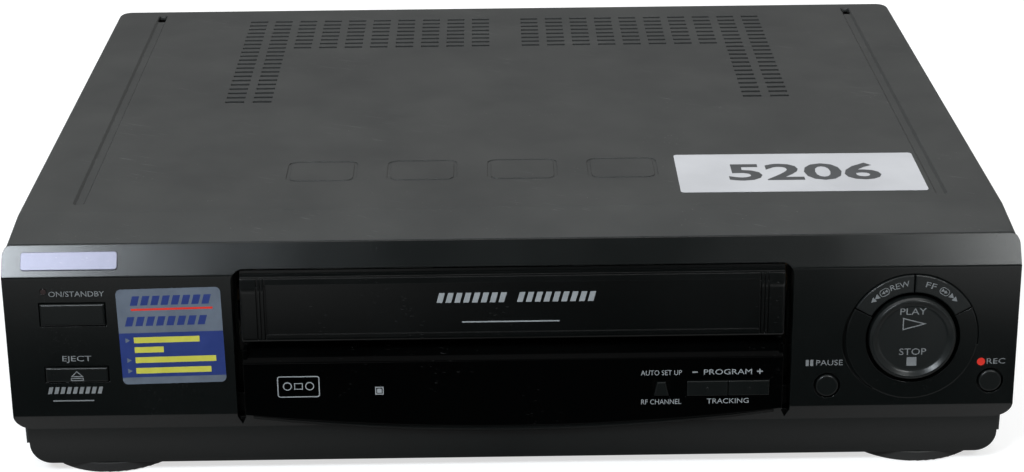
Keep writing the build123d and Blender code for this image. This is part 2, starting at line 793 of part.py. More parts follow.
# Top cover: pressed steel, open at the front, the bottom and the back
cover_half = panel_width / 2 - 1.0
cover_sheet = 1.0
cover_foot_z = 8.0
cover_front_y = joint_y + 0.5
crease_y = front_y + 36.5
cover_bend = 2.2
cover_corner = 6.0  # rear corners, seen from above
rear_lip = 9.0
channel_x = cover_half - 22.0
channel_width = 4.8
channel_depth = 1.0
channel_front_y = crease_y + 7.0
channel_back_y = back_y - 7.0
vent_length = 8.2
vent_width = 2.4
vent_pitch_x = 11.9
vent_pitch_y = 5.75
vent_first_x = 11.7
vent_columns = 10
vent_rows = 8
vent_long_rows = 21
vent_last_y = back_y - 19.9
side_screws_y = (front_y + 60, back_y - 55)  # two low on each side
side_screw_z = 14.0
rear_screws_x = (-150.0, 0.0, 150.0)  # three through the rear lip
rear_screw_z = recorder_height - 5.5


def cover_form(inset):
    """The cover's closed outline, shrunk by the sheet's thickness for its inside."""
    half = cover_half - inset
    head = recorder_height - inset
    front = cover_front_y - inset * 4
    slope_z = panel_head_z + 0.15 - inset * 1.2
    with BuildPart() as form:
        with BuildSketch(Plane.YZ) as side_view:
            with BuildLine():
                Polyline(
                    (front, cover_foot_z - inset * 4),
                    (front, slope_z),
                    (crease_y, head),
                    (back_y - inset, head),
                    (back_y - inset, cover_foot_z - inset * 4),
                    close=True,
                )
            make_face()
        extrude(amount=half, both=True)
        fillet(form.edges().filter_by(Axis.Z).group_by(Axis.Y)[-1], cover_corner - inset)
        long_edges = form.edges().filter_by(Axis.Y).group_by(Axis.Z)[-1]
        slope_edges = form.edges().filter_by(lambda e: 0.02 < abs((e % 0.5).Z) < 0.9)
        rear_edge = form.edges().filter_by(Axis.X).group_by(Axis.Z)[-1].sort_by(Axis.Y)[-1]
        fillet(long_edges + slope_edges + [rear_edge], cover_bend - inset)
    return form.part


with BuildPart() as top_cover:
    add(cover_form(0))
    channel_middle_y = (channel_front_y + channel_back_y) / 2
    with BuildSketch(Plane.XY.offset(recorder_height)) as channels:
        with Locations((-channel_x, channel_middle_y), (channel_x, channel_middle_y)):
            SlotOverall(channel_back_y - channel_front_y, channel_width, rotation=90)
    extrude(amount=-channel_depth, taper=45, mode=Mode.SUBTRACT)
    add(cover_form(cover_sheet), mode=Mode.SUBTRACT)
    with BuildSketch(Plane.XY.offset(recorder_height - cover_sheet)) as channel_ribs:
        with Locations((-channel_x, channel_middle_y), (channel_x, channel_middle_y)):
            Rectangle(channel_width + 1.6, channel_back_y - channel_front_y)
    extrude(amount=-channel_depth)
    with BuildSketch(Plane.XY.offset(recorder_height)) as channel_holes:
        with Locations((-channel_x, channel_back_y - 4.5), (channel_x, channel_back_y - 4.5)):
            Rectangle(channel_width - 1.0, 7.0)
    extrude(amount=-3 * cover_sheet, mode=Mode.SUBTRACT)
    block(-cover_half, cover_half, back_y - 3.0, back_y + 1, 0, recorder_height - rear_lip, Mode.SUBTRACT)
    with BuildSketch(Plane.XY.offset(recorder_height)) as vents:
        for side in (-1, 1):
            for column in range(vent_columns):
                rows = vent_long_rows if column >= vent_columns - 2 else vent_rows
                vent_x = side * (vent_first_x + column * vent_pitch_x)
                for row in range(rows):
                    with Locations((vent_x, vent_last_y - row * vent_pitch_y)):
                        Rectangle(vent_length, vent_width)
    extrude(amount=-3 * cover_sheet, mode=Mode.SUBTRACT)
    for y in side_screws_y:
        bar_x(-cover_half - 1, cover_half + 1, y, side_screw_z, 1.8, Mode.SUBTRACT)
    for x in rear_screws_x:
        bar_y(x, back_y - 3, back_y + 1, rear_screw_z, 1.8, Mode.SUBTRACT)
    # raised rectangles pressed where a name would stand
    for x in (-72.0, -32.0, 8.0, 48.0):
        with BuildSketch(Plane.XY.offset(recorder_height)):
            with Locations((x - 3.0, crease_y + 39.5)):
                RectangleRounded(28.0, 22.0, 4.0)
                RectangleRounded(25.0, 19.0, 3.0, mode=Mode.SUBTRACT)
        extrude(amount=-0.35, mode=Mode.SUBTRACT)
top_cover.part.label = "top_cover"
export_step(top_cover.part, "parts/top_cover.step")

# Number label stuck on the cover
with BuildPart() as number_label:
    with BuildSketch(Plane.XY.offset(recorder_height)):
        with Locations(Location((114.6, crease_y + 32.0, 0), (0, 0, -0.4))):
            RectangleRounded(96.5, 40.5, 1.5)
    extrude(amount=0.12)
number_label.part.label = "number_label"
export_step(number_label.part, "parts/number_label.step")

# Base chassis: steel tray with side flanges, posts for the deck and stand-offs for the boards
chassis_half = cover_half - cover_sheet - sheet_gap
chassis_floor_z = 5.0
chassis_sheet = 1.2
chassis_top_z = chassis_floor_z + chassis_sheet
chassis_front_y = joint_y + 0.5
rear_sheet = 1.0
rear_face_y = back_y - cover_sheet - seat_gap  # outer face of the rear panel
chassis_back_y = rear_face_y - rear_sheet
flange_z = 18.0
foot_x = cover_half - 33.0
foot_radius = 29.0
foot_front_y = front_y + 31.2
foot_back_y = back_y - 40.0
deck_half = 108.0
deck_bottom_z = 22.4
deck_sheet = 1.6
deck_top_z = deck_bottom_z + deck_sheet
deck_front_y = front_y + 38.0
deck_back_y = deck_front_y + 204.0
board_z = 12.0
deck_posts = [
    (-deck_half + 6, deck_front_y + 8),
    (deck_half - 6, deck_front_y + 8),
    (-deck_half + 6, deck_back_y - 8),
    (deck_half - 6, deck_back_y - 8),
]
side_board_inner = deck_half + 4.0
side_board_outer = chassis_half - 5.0
rear_strip_y = deck_back_y + 8.0
board_back_y = chassis_back_y - 2.0
main_front_y = front_y + 25.0
supply_front_y = front_y + 130.0
main_strip_x = -side_board_inner + 16.0
stand_offs = [
    (side_board_outer - 6, main_front_y + 8),
    (side_board_inner + 6, main_front_y + 8),
    (side_board_outer - 6, board_back_y - 8),
    (main_strip_x + 8, board_back_y - 8),
    (-side_board_outer + 6, supply_front_y + 8),
    (-side_board_inner - 6, supply_front_y + 8),
    (-side_board_outer + 6, board_back_y - 8),
    (-side_board_inner - 6, board_back_y - 8),
]
with BuildPart() as base_chassis:
    block(-chassis_half, chassis_half, chassis_front_y, chassis_back_y, chassis_floor_z, chassis_top_z)
    for side in (-1, 1):
        flange_low = min(side * (chassis_half - chassis_sheet), side * chassis_half)
        block(
            flange_low,
            flange_low + chassis_sheet,
            chassis_front_y,
            chassis_back_y,
            chassis_floor_z,
            flange_z,
        )
    for x, y in deck_posts:
        post(x, y, chassis_top_z - 0.2, deck_bottom_z, 4.0)
    for x, y in stand_offs:
        post(x, y, chassis_top_z - 0.2, board_z, 3.0)
    for x in (-foot_x, foot_x):
        for y in (foot_front_y, foot_back_y):
            post(x, y, 0, chassis_top_z + 1, 3.2, Mode.SUBTRACT)
    for y in side_screws_y:
        bar_x(-chassis_half - 1, chassis_half + 1, y, side_screw_z, 1.7, Mode.SUBTRACT)
    with BuildSketch(Plane.XY.offset(chassis_top_z)) as floor_vents:
        for x in (-60.0, 0.0, 60.0):
            for row in range(6):
                with Locations((x, 20.0 + 9.0 * row)):
                    SlotOverall(34.0, 3.0)
    extrude(amount=-2 * chassis_sheet, mode=Mode.SUBTRACT)
    add(cover_form(cover_sheet + sheet_gap), mode=Mode.INTERSECT)
base_chassis.part.label = "base_chassis"
export_step(base_chassis.part, "parts/base_chassis.step")

# Feet: round discs, each pushed through the chassis floor by a stud
foot_top_z = skirt_foot_z - 0.1
with BuildPart() as feet:
    for x in (-foot_x, foot_x):
        for y in (foot_front_y, foot_back_y):
            post(x, y, 0, foot_top_z, foot_radius)
    fillet(feet.edges().filter_by(GeomType.CIRCLE).group_by(Axis.Z)[0], 1.2)
    for x in (-foot_x, foot_x):
        for y in (foot_front_y, foot_back_y):
            post(x, y, foot_top_z - 0.2, chassis_floor_z, 12.0)
            post(x, y, foot_top_z - 0.2, chassis_top_z + 2.5, 3.0)
feet.part.label = "feet"
export_step(feet.part, "parts/feet.step")

# Rear panel sockets: places shared by the panel's holes and the sockets
socket_z = 30.0
scart_places = (28.0, 88.0)
scart_half = (23.5, 7.6)
aerial_x = chassis_half - 42.0
aerial_z = (30.0, 54.0)
aerial_radius = 6.2
audio_x = -34.0
audio_z = (26.0, 42.0)
audio_radius = 4.15
inlet_x = -chassis_half + 36.0
inlet_z = 26.0
inlet_half = (11.0, 6.5)
socket_end_y = -front_y + 2.0
with BuildPart() as rear_panel:
    block(-cover_half, cover_half, chassis_back_y, rear_face_y + 0.1, chassis_floor_z, recorder_height)
    for x in scart_places:
        block(
            x - scart_half[0] - 0.4,
            x + scart_half[0] + 0.4,
            0,
            body_depth,
            socket_z - scart_half[1] - 0.4,
            socket_z + scart_half[1] + 0.4,
            Mode.SUBTRACT,
        )
    for z in aerial_z:
        bar_y(aerial_x, 0, body_depth, z, aerial_radius + 0.4, Mode.SUBTRACT)
    for z in audio_z:
        bar_y(audio_x, 0, body_depth, z, 5.6, Mode.SUBTRACT)
    block(
        inlet_x - inlet_half[0] - 0.3,
        inlet_x + inlet_half[0] + 0.3,
        0,
        body_depth,
        inlet_z - inlet_half[1] - 0.3,
        inlet_z + inlet_half[1] + 0.3,
        Mode.SUBTRACT,
    )
    for x in rear_screws_x:
        bar_y(x, 0, body_depth, rear_screw_z, 1.7, Mode.SUBTRACT)
    with BuildSketch(Plane.XZ.offset(-rear_face_y)) as rear_vents:
        for column in range(9):
            with Locations((-150 + 9.0 * column, 68.0)):
                SlotOverall(22.0, 3.0, rotation=90)
    extrude(amount=3 * rear_sheet, both=True, mode=Mode.SUBTRACT)
    add(cover_form(cover_sheet + seat_gap), mode=Mode.INTERSECT)
rear_panel.part.label = "rear_panel"
export_step(rear_panel.part, "parts/rear_panel.step")

# Cover screws: two low on each side, three across the rear
screw_head = 1.0
screw_radius = 3.2
cross_half = 2.4
cross_width = 0.8
cross_foot = 0.4  # the cross is cut down to this height above the sheet
with BuildPart() as cover_screws:
    for side in (-1, 1):
        for y in side_screws_y:
            head_low = min(side * cover_half, side * (cover_half + screw_head))
            shank_low = min(side * (cover_half - 4), side * cover_half)
            bar_x(head_low, head_low + screw_head, y, side_screw_z, screw_radius)
            bar_x(shank_low, shank_low + 4, y, side_screw_z, 1.5)
    for x in rear_screws_x:
        bar_y(x, back_y, back_y + screw_head, rear_screw_z, screw_radius)
        bar_y(x, back_y - 4, back_y, rear_screw_z, 1.5)
    screw_circles = cover_screws.edges().filter_by(GeomType.CIRCLE)
    screw_rims = screw_circles.filter_by(lambda e: abs(e.radius - screw_radius) < 0.01)
    rim_x = cover_half + cross_foot
    rim_y = back_y + cross_foot
    fillet([e for e in screw_rims if abs(e.center().X) > rim_x or e.center().Y > rim_y], 0.4)
    for side in (-1, 1):
        for y in side_screws_y:
            low = min(side * rim_x, side * (rim_x + 1))
            for wide, tall in ((cross_half, cross_width / 2), (cross_width / 2, cross_half)):
                block(
                    low, low + 1, y - wide, y + wide, side_screw_z - tall, side_screw_z + tall, Mode.SUBTRACT
                )
    for x in rear_screws_x:
        for wide, tall in ((cross_half, cross_width / 2), (cross_width / 2, cross_half)):
            block(
                x - wide, x + wide, rim_y, rim_y + 1, rear_screw_z - tall, rear_screw_z + tall, Mode.SUBTRACT
            )
cover_screws.part.label = "cover_screws"
export_step(cover_screws.part, "parts/cover_screws.step")

# Main board: right side and a strip across the rear
board_top_z = board_z + board_thickness
with BuildPart() as main_board:
    block(side_board_inner, side_board_outer, main_front_y, board_back_y, board_z, board_top_z)
    block(main_strip_x, side_board_inner, rear_strip_y, board_back_y, board_z, board_top_z)
main_board.part.label = "main_board"
export_step(main_board.part, "parts/main_board.step")

# Power supply board: left side
with BuildPart() as supply_board:
    block(-side_board_outer, -side_board_inner, supply_front_y, board_back_y, board_z, board_top_z)
supply_board.part.label = "supply_board"
export_step(supply_board.part, "parts/supply_board.step")

# Chips, capacitors and connectors on both boards
with BuildPart() as board_components:
    for row in range(4):
        chip_y = main_front_y + 30 + 42 * row
        chip_x = side_board_inner + 12
        block(chip_x, chip_x + 26, chip_y, chip_y + 14, board_top_z, board_top_z + 3.2)
        post(side_board_outer - 14, chip_y + 2, board_top_z, board_top_z + 12, 4.0)
        post(side_board_outer - 14, chip_y + 14, board_top_z, board_top_z + 12, 4.0)
        block(side_board_inner + 4, side_board_inner + 8, chip_y, chip_y + 22, board_top_z, board_top_z + 7)
    for column in range(3):
        post(main_strip_x + 12 + 14 * column, rear_strip_y + 8, board_top_z, board_top_z + 14, 5.0)
    post(-side_board_inner - 16, supply_front_y + 24, board_top_z, board_top_z + 30, 11.0)
    post(-side_board_outer + 14, supply_front_y + 26, board_top_z, board_top_z + 22, 7.0)
    for column in range(3):
        post(-side_board_inner - 10 - 14 * column, supply_front_y + 112, board_top_z, board_top_z + 18, 5.5)
board_components.part.label = "board_components"
export_step(board_components.part, "parts/board_components.step")

# Mains transformer: laminated core with a coil former through it
core_x = (-side_board_outer - side_board_inner) / 2 - 6
core_y = supply_front_y + 62.0
with BuildPart() as transformer:
    block(core_x - 20, core_x + 20, core_y - 9, core_y + 9, board_top_z, board_top_z + 36)
    for side in (-1, 1):
        opening_x = core_x + side * 10
        block(
            opening_x - 4,
            opening_x + 4,
            core_y - 20,
            core_y + 20,
            board_top_z + 8,
            board_top_z + 28,
            Mode.SUBTRACT,
        )
    block(core_x - 13.6, core_x + 13.6, core_y - 17, core_y + 17, board_top_z + 8.4, board_top_z + 27.6)
transformer.part.label = "transformer"
export_step(transformer.part, "parts/transformer.step")

# Heat sink: a plate with fins
sink_x = -side_board_inner - 8.0
with BuildPart() as heat_sink:
    block(sink_x - 1.5, sink_x + 1.5, core_y - 22, core_y + 32, board_top_z, board_top_z + 38)
    for fin in range(7):
        fin_y = core_y - 20 + fin * 8
        block(sink_x + 1.4, sink_x + 6.5, fin_y, fin_y + 1.6, board_top_z + 4, board_top_z + 38)
heat_sink.part.label = "heat_sink"
export_step(heat_sink.part, "parts/heat_sink.step")

# Mains inlet: figure-of-eight socket
with BuildPart() as mains_inlet:
    block(
        inlet_x - inlet_half[0],
        inlet_x + inlet_half[0],
        board_back_y - 20,
        rear_face_y + 2.0,
        inlet_z - inlet_half[1],
        inlet_z + inlet_half[1],
    )
    fillet(mains_inlet.edges().filter_by(Axis.Y), 2.5)
    for x in (inlet_x - 3.4, inlet_x + 3.4):
        bar_y(x, rear_face_y - 12, rear_face_y + 3, inlet_z, 4.3, Mode.SUBTRACT)
    for x in (inlet_x - 3.4, inlet_x + 3.4):
        bar_y(x, rear_face_y - 13, rear_face_y - 1, inlet_z, 1.2)
    block(
        inlet_x - inlet_half[0] + 1,
        inlet_x + inlet_half[0] - 1,
        board_back_y - 18,
        board_back_y - 4,
        board_top_z,
        inlet_z - inlet_half[1] + 0.2,
    )
mains_inlet.part.label = "mains_inlet"
export_step(mains_inlet.part, "parts/mains_inlet.step")

# Scart sockets: moulded shells with a blade carrier inside
with BuildPart() as scart_sockets:
    for x in scart_places:
        block(
            x - scart_half[0],
            x + scart_half[0],
            board_back_y - 18,
            rear_face_y + 4.0,
            socket_z - scart_half[1],
            socket_z + scart_half[1],
        )
        block(
            x - scart_half[0] + 1.5,
            x + scart_half[0] - 1.5,
            rear_face_y - 12,
            rear_face_y + 5,
            socket_z - scart_half[1] + 1.5,
            socket_z + scart_half[1] - 1.5,
            Mode.SUBTRACT,
        )
        block(
            x - scart_half[0] + 4,
            x + scart_half[0] - 4,
            rear_face_y - 12.2,
            rear_face_y + 1,
            socket_z - scart_half[1] + 3.3,
            socket_z + scart_half[1] - 3.3,
        )
        block(
            x - scart_half[0] + 3,
            x + scart_half[0] - 3,
            board_back_y - 16,
            board_back_y - 4,
            board_top_z,
            socket_z - scart_half[1] + 0.2,
        )
scart_sockets.part.label = "scart_sockets"
export_step(scart_sockets.part, "parts/scart_sockets.step")

# Aerial modulator: screened can with two coaxial sockets through the rear panel
with BuildPart() as aerial_modulator:
    block(
        aerial_x - 18,
        aerial_x + 18,
        board_back_y - 46,
        chassis_back_y - seat_gap,
        board_top_z,
        aerial_z[1] + 12,
    )
    fillet(aerial_modulator.edges().filter_by(Axis.Z), 1.0)
    for z in aerial_z:
        bar_y(aerial_x, chassis_back_y - 1, socket_end_y, z, aerial_radius)
    bar_y(aerial_x, chassis_back_y, socket_end_y + 1, aerial_z[1], 4.8, Mode.SUBTRACT)
    bar_y(aerial_x, chassis_back_y - 1, socket_end_y - 2.5, aerial_z[1], 1.2)
    bar_y(aerial_x, rear_face_y + 2, socket_end_y + 1, aerial_z[0], aerial_radius + 1, Mode.SUBTRACT)
    bar_y(aerial_x, rear_face_y + 1.9, socket_end_y, aerial_z[0], 4.75)
    bar_y(aerial_x, rear_face_y + 2.5, socket_end_y + 1, aerial_z[0], 3.6, Mode.SUBTRACT)
    bar_y(aerial_x, rear_face_y + 2.4, socket_end_y, aerial_z[0], 1.2)
aerial_modulator.part.label = "aerial_modulator"
export_step(aerial_modulator.part, "parts/aerial_modulator.step")

# Audio sockets: a pair of phono sockets on one moulded block
with BuildPart() as audio_sockets:
    block(audio_x - 7, audio_x + 7, board_back_y - 12, chassis_back_y - seat_gap, board_top_z, audio_z[1] + 7)
    for z in audio_z:
        bar_y(audio_x, chassis_back_y - 1, rear_face_y + 1.2, z, 5.2)
        bar_y(audio_x, chassis_back_y - 1, rear_face_y + 7.5, z, audio_radius)
        bar_y(audio_x, rear_face_y - 6, rear_face_y + 8, z, 1.7, Mode.SUBTRACT)
audio_sockets.part.label = "audio_sockets"
export_step(audio_sockets.part, "parts/audio_sockets.step")

# Tape deck: everything below is placed from the reel tables, under the cassette's loaded place
reel_y = deck_front_y + 36.0
door_y = reel_y + door_to_reel  # the loaded cassette's door edge
holder_run = 64.0
holder_drop = 20.0
shaft_foot_z = deck_bottom_z - 4.0
capstan_x = 66.0
capstan_y = door_y + 10.0
capstan_radius = 2.0
flywheel_radius = 30.0
flywheel_z = (15.0, 21.0)
belt_z = (9.5, 14.0)
clutch_y = reel_y + 26.0
clutch_radius = 13.0
clutch_pulley_radius = 12.0
capstan_pulley_radius = 8.0
drive_z = (26.2, 29.3)
reel_radius = 17.0
reel_shaft_radius = 3.0
idler_reach = clutch_y - reel_y
idler_radius = idler_reach - clutch_radius - 0.4
pivot_radius = 2.5
pinch_x = capstan_x + 22.0
pinch_y = capstan_y + 6.0
pinch_reach = 16.1
pinch_rest = 120.0
pinch_radius = 7.0
cam_x = 70.0
cam_y = capstan_y + 60.0
cam_radius = 24.0
cam_z = (32.5, 37.5)
worm_radius = 3.5
worm_x = cam_x + cam_radius + worm_radius + 0.5
worm_z = (cam_z[0] + cam_z[1]) / 2
motor_radius = 8.5
motor_y = cam_y + 18.4
drum_x = -6.0
drum_y = door_y + 46.0
drum_radius = 31.0
drum_lean = 5.9
drum_z = 34.0
drum_split = 17.0
drum_head = 31.0
guide_width = 10.0
guide_slot = 5.0
supply_track = ((-28.0, door_y - 12.0), (-45.0, door_y + 36.0))
takeup_track = ((22.0, door_y - 12.0), (36.0, door_y + 34.0))
erase_place = (-58.0, door_y + 14.0)
sound_place = (50.0, door_y + 22.0)
drum_plane = Plane(
    origin=(drum_x, drum_y, drum_z),
    x_dir=(math.cos(math.radians(drum_lean)), 0, math.sin(math.radians(drum_lean))),
    z_dir=(-math.sin(math.radians(drum_lean)), 0, math.cos(math.radians(drum_lean))),
)


def drum_post(low, high, radius, mode=Mode.ADD):
    """A cylinder on the head drum's leaning axis."""
    with Locations(drum_plane):
        with Locations((0, 0, (low + high) / 2)):
            Cylinder(radius, high - low, mode=mode)


def track_angle(track):
    """Direction of a guide's track in degrees."""
    (x0, y0), (x1, y1) = track
    return math.degrees(math.atan2(y1 - y0, x1 - x0))


def track_length(track):
    """Length of a guide's track."""
    (x0, y0), (x1, y1) = track
    return math.hypot(x1 - x0, y1 - y0)


# Deck plate: pressed steel on the four deck posts
with BuildPart() as deck_plate:
    with BuildSketch(Plane.XY.offset(deck_bottom_z)) as deck_outline:
        with Locations((0, (deck_front_y + deck_back_y) / 2)):
            RectangleRounded(2 * deck_half, deck_back_y - deck_front_y, 5.0)
        for x in (-reel_spacing / 2, reel_spacing / 2):
            with Locations((x, reel_y)):
                Circle(reel_shaft_radius + running_gap, mode=Mode.SUBTRACT)
        for x, y, radius in (
            (capstan_x, capstan_y, capstan_radius),
            (0, clutch_y, capstan_radius),
            (pinch_x, pinch_y, pivot_radius),
            (cam_x, cam_y, pivot_radius),
        ):
            with Locations((x, y)):
                Circle(radius + running_gap, mode=Mode.SUBTRACT)
        for track in (supply_track, takeup_track):
            with Locations(((track[0][0] + track[1][0]) / 2, (track[0][1] + track[1][1]) / 2)):
                SlotCenterToCenter(
                    track_length(track) + 0.6,
                    guide_slot,
                    rotation=track_angle(track),
                    mode=Mode.SUBTRACT,
                )
        for x, y in ((-78, -20), (-78, 50), (24, 66), (-30, -95), (30, -95)):
            with Locations((x, y)):
                RectangleRounded(22, 14, 3, mode=Mode.SUBTRACT)
    extrude(amount=deck_sheet)
    # raised bearing rings round the shafts
    for x, y, radius in (
        (-reel_spacing / 2, reel_y, reel_shaft_radius),
        (reel_spacing / 2, reel_y, reel_shaft_radius),
        (capstan_x, capstan_y, capstan_radius),
        (pinch_x, pinch_y, pivot_radius),
        (cam_x, cam_y, pivot_radius),
    ):
        with BuildSketch(Plane.XY.offset(deck_top_z - 0.1)) as ring:
            with Locations((x, y)):
                Circle(radius + 3)
                Circle(radius + running_gap, mode=Mode.SUBTRACT)
        extrude(amount=1.6)
    # hole over each deck post, under its screw
    for x, y in deck_posts:
        post(x, y, deck_bottom_z - 1, deck_top_z + 1, 1.6, Mode.SUBTRACT)
deck_plate.part.label = "deck_plate"
export_step(deck_plate.part, "parts/deck_plate.step")

# Cassette holder: open-ended tray with two ledges, a lid and four guide pins
holder_half = cassette_width / 2 + 0.6
holder_wall = 1.2
holder_ledge_z = ledge_z
holder_lid_z = holder_ledge_z + cassette_height + 1.2
holder_back_y = door_y - holder_run
holder_front_y = holder_back_y - 32.0
pin_rows = (holder_front_y + 8.0, holder_back_y - 6.0)
holder_pin_z = holder_ledge_z + 7.6
slot_half = 1.7
pin_radius = 1.5
with BuildPart() as cassette_holder:
    for side in (-1, 1):
        wall_low = min(side * holder_half, side * (holder_half + holder_wall))
        block(
            wall_low,
            wall_low + holder_wall,
            holder_front_y,
            holder_back_y + holder_wall,
            holder_ledge_z - holder_wall,
            holder_lid_z + holder_wall,
        )
        shelf_low = min(side * (holder_half - 14.6), side * (holder_half + 0.1))
        block(
            shelf_low,
            shelf_low + 14.7,
            holder_front_y - 27,
            holder_back_y + holder_wall,
            holder_ledge_z - holder_wall,
            holder_ledge_z,
        )
        stop_low = min(side * 60, side * (holder_half + 0.1))
        block(
            stop_low,
            stop_low + holder_half + 0.1 - 60,
            holder_back_y,
            holder_back_y + 1,
            holder_ledge_z - 0.1,
            holder_ledge_z + 9.6,
        )
        for y in pin_rows:
            pin_low = min(side * holder_half, side * (holder_half + 3.6))
            bar_x(pin_low, pin_low + 3.6, y, holder_pin_z, pin_radius)
    block(
        -holder_half - 0.1,
        holder_half + 0.1,
        holder_front_y + 0.5,
        holder_back_y,
        holder_lid_z,
        holder_lid_z + holder_wall,
    )
    with BuildSketch(Plane.XY.offset(holder_lid_z + 2)) as lid_holes:
        for x in (-60, -20, 20, 60):
            with Locations((x, (holder_front_y + holder_back_y) / 2)):
                RectangleRounded(26, 16, 3)
    extrude(amount=-4, mode=Mode.SUBTRACT)
cassette_holder.part.label = "cassette_holder"
export_step(cassette_holder.part, "parts/cassette_holder.step")

# Holder carriage: two slotted cheeks joined by a bar over the holder
carriage_half = holder_half + 2.0
carriage_top_z = holder_lid_z + 3.6
runner_z = holder_lid_z - 8.6
with BuildPart() as holder_carriage:
    for side in (-1, 1):
        cheek_low = min(side * carriage_half, side * (carriage_half + holder_wall))
        block(
            cheek_low,
            cheek_low + holder_wall,
            holder_front_y + 1,
            holder_back_y + 1,
            holder_pin_z - holder_drop - 4,
            carriage_top_z,
        )
        for y in pin_rows:
            block(
                cheek_low - 1,
                cheek_low + holder_wall + 1,
                y - slot_half,
                y + slot_half,
                holder_pin_z - holder_drop - slot_half,
                holder_pin_z + slot_half,
                Mode.SUBTRACT,
            )
            runner_low = min(side * carriage_half, side * (carriage_half + 4))
            bar_x(runner_low, runner_low + 4, y, runner_z, pin_radius)
    block(
        -carriage_half - 0.1,
        carriage_half + 0.1,
        holder_front_y + 4,
        holder_front_y + 19,
        carriage_top_z - holder_wall,
        carriage_top_z,
    )
holder_carriage.part.label = "holder_carriage"
export_step(holder_carriage.part, "parts/holder_carriage.step")

# Holder brackets: fixed side plates on the deck, one long slot each
bracket_half = carriage_half + holder_wall + 1.0
bracket_sheet = 1.4
with BuildPart() as holder_brackets:
    for side in (-1, 1):
        plate_low = min(side * bracket_half, side * (bracket_half + bracket_sheet))
        block(
            plate_low,
            plate_low + bracket_sheet,
            holder_front_y,
            door_y + 3,
            deck_top_z,
            carriage_top_z + 2.6,
        )
        block(
            plate_low - 1,
            plate_low + bracket_sheet + 1,
            pin_rows[0] - slot_half,
            pin_rows[1] + holder_run + slot_half,
            runner_z - slot_half,
            runner_z + slot_half,
            Mode.SUBTRACT,
        )
        block(
            plate_low - 1,
            plate_low + bracket_sheet + 1,
            holder_front_y + 16,
            door_y - 13,
            deck_top_z + 8,
            runner_z - 14,
            Mode.SUBTRACT,
        )
        flange_low = min(side * (bracket_half + 0.5), side * (bracket_half + 8.2))
        block(
            flange_low,
            flange_low + 7.7,
            holder_front_y + 10,
            door_y + 3,
            deck_top_z,
            deck_top_z + bracket_sheet,
        )
holder_brackets.part.label = "holder_brackets"
export_step(holder_brackets.part, "parts/holder_brackets.step")

# Lower drum: fixed, leaning, on three posts
with BuildPart() as lower_drum:
    drum_post(0, drum_split, drum_radius)
    drum_post(4, drum_split + 1, drum_radius - 4, Mode.SUBTRACT)
    drum_post(3.9, drum_split - 1, 9)
    drum_post(-1, drum_split + 1, pivot_radius + running_gap, Mode.SUBTRACT)
    for turn in (30, 150, 270):
        post_x = drum_x + 27 * math.cos(math.radians(turn))
        post_y = drum_y + 27 * math.sin(math.radians(turn))
        post(post_x, post_y, deck_top_z, drum_z + 3, 3)
lower_drum.part.label = "lower_drum"
export_step(lower_drum.part, "parts/lower_drum.step")

# Upper drum: turns with its heads at the rim
with BuildPart() as upper_drum:
    drum_post(drum_split + 0.4, drum_head, drum_radius)
    drum_post(drum_head - 3, drum_head + 1, drum_radius - 5, Mode.SUBTRACT)
    drum_post(drum_head - 3.1, drum_head - 1, 10)
    drum_post(-7.5, drum_head - 0.5, pivot_radius)
    drum_post(drum_split + 0.3, drum_split + 3, drum_radius - 4, Mode.SUBTRACT)
    drum_post(-7.5, drum_split + 3.1, pivot_radius)
    with Locations(drum_plane):
        with PolarLocations(drum_radius - 1.7, 4):
            with Locations((0, 0, drum_split + 1.9)):
                Box(4.0, 2.4, 1.6)
    for turn in range(6):
        with Locations(drum_plane):
            with PolarLocations(19, 1, start_angle=turn * 60):
                with Locations((0, 0, drum_head - 3)):
                    Cylinder(2.4, 6, mode=Mode.SUBTRACT)
upper_drum.part.label = "upper_drum"
export_step(upper_drum.part, "parts/upper_drum.step")

# Drum motor's rotor, on the drum's shaft under the lower drum
with BuildPart() as drum_rotor:
    drum_post(-6.5, -1.5, 22)
    drum_post(-4.5, 0, 19, Mode.SUBTRACT)
    drum_post(-4.6, -1.5, 6)
    drum_post(-8, 0, pivot_radius + 0.01, Mode.SUBTRACT)
drum_rotor.part.label = "drum_rotor"
export_step(drum_rotor.part, "parts/drum_rotor.step")

# Capstan: shaft, flywheel and belt pulley
with BuildPart() as capstan:
    post(capstan_x, capstan_y, belt_z[0], holder_ledge_z + 5.6, capstan_radius)
    post(capstan_x, capstan_y, flywheel_z[0], flywheel_z[1], flywheel_radius)
    post(capstan_x, capstan_y, belt_z[0], belt_z[1], capstan_pulley_radius)
    with BuildSketch(Plane.XY.offset(flywheel_z[1])) as flywheel_recess:
        with Locations((capstan_x, capstan_y)):
            Circle(flywheel_radius - 5)
            Circle(9, mode=Mode.SUBTRACT)
    extrude(amount=-1.2, mode=Mode.SUBTRACT)
    post(capstan_x, capstan_y, belt_z[1] - 0.1, flywheel_z[0] + 0.1, 6)
capstan.part.label = "capstan"
export_step(capstan.part, "parts/capstan.step")

# Clutch: pulley under the deck, driving wheel above it
with BuildPart() as clutch:
    post(0, clutch_y, belt_z[0], drive_z[1] + 1.2, capstan_radius)
    post(0, clutch_y, belt_z[0], belt_z[1], clutch_pulley_radius)
    post(0, clutch_y, belt_z[1] - 0.1, deck_bottom_z - 1, 6)
    post(0, clutch_y, drive_z[0], drive_z[1], clutch_radius)
clutch.part.label = "clutch"
export_step(clutch.part, "parts/clutch.step")

# Drive belt round the capstan's and the clutch's pulleys
belt_gap = 0.2
belt_thickness = 1.2
belt_span = math.hypot(capstan_x, capstan_y - clutch_y)
belt_turn = math.degrees(math.atan2(capstan_y - clutch_y, capstan_x))


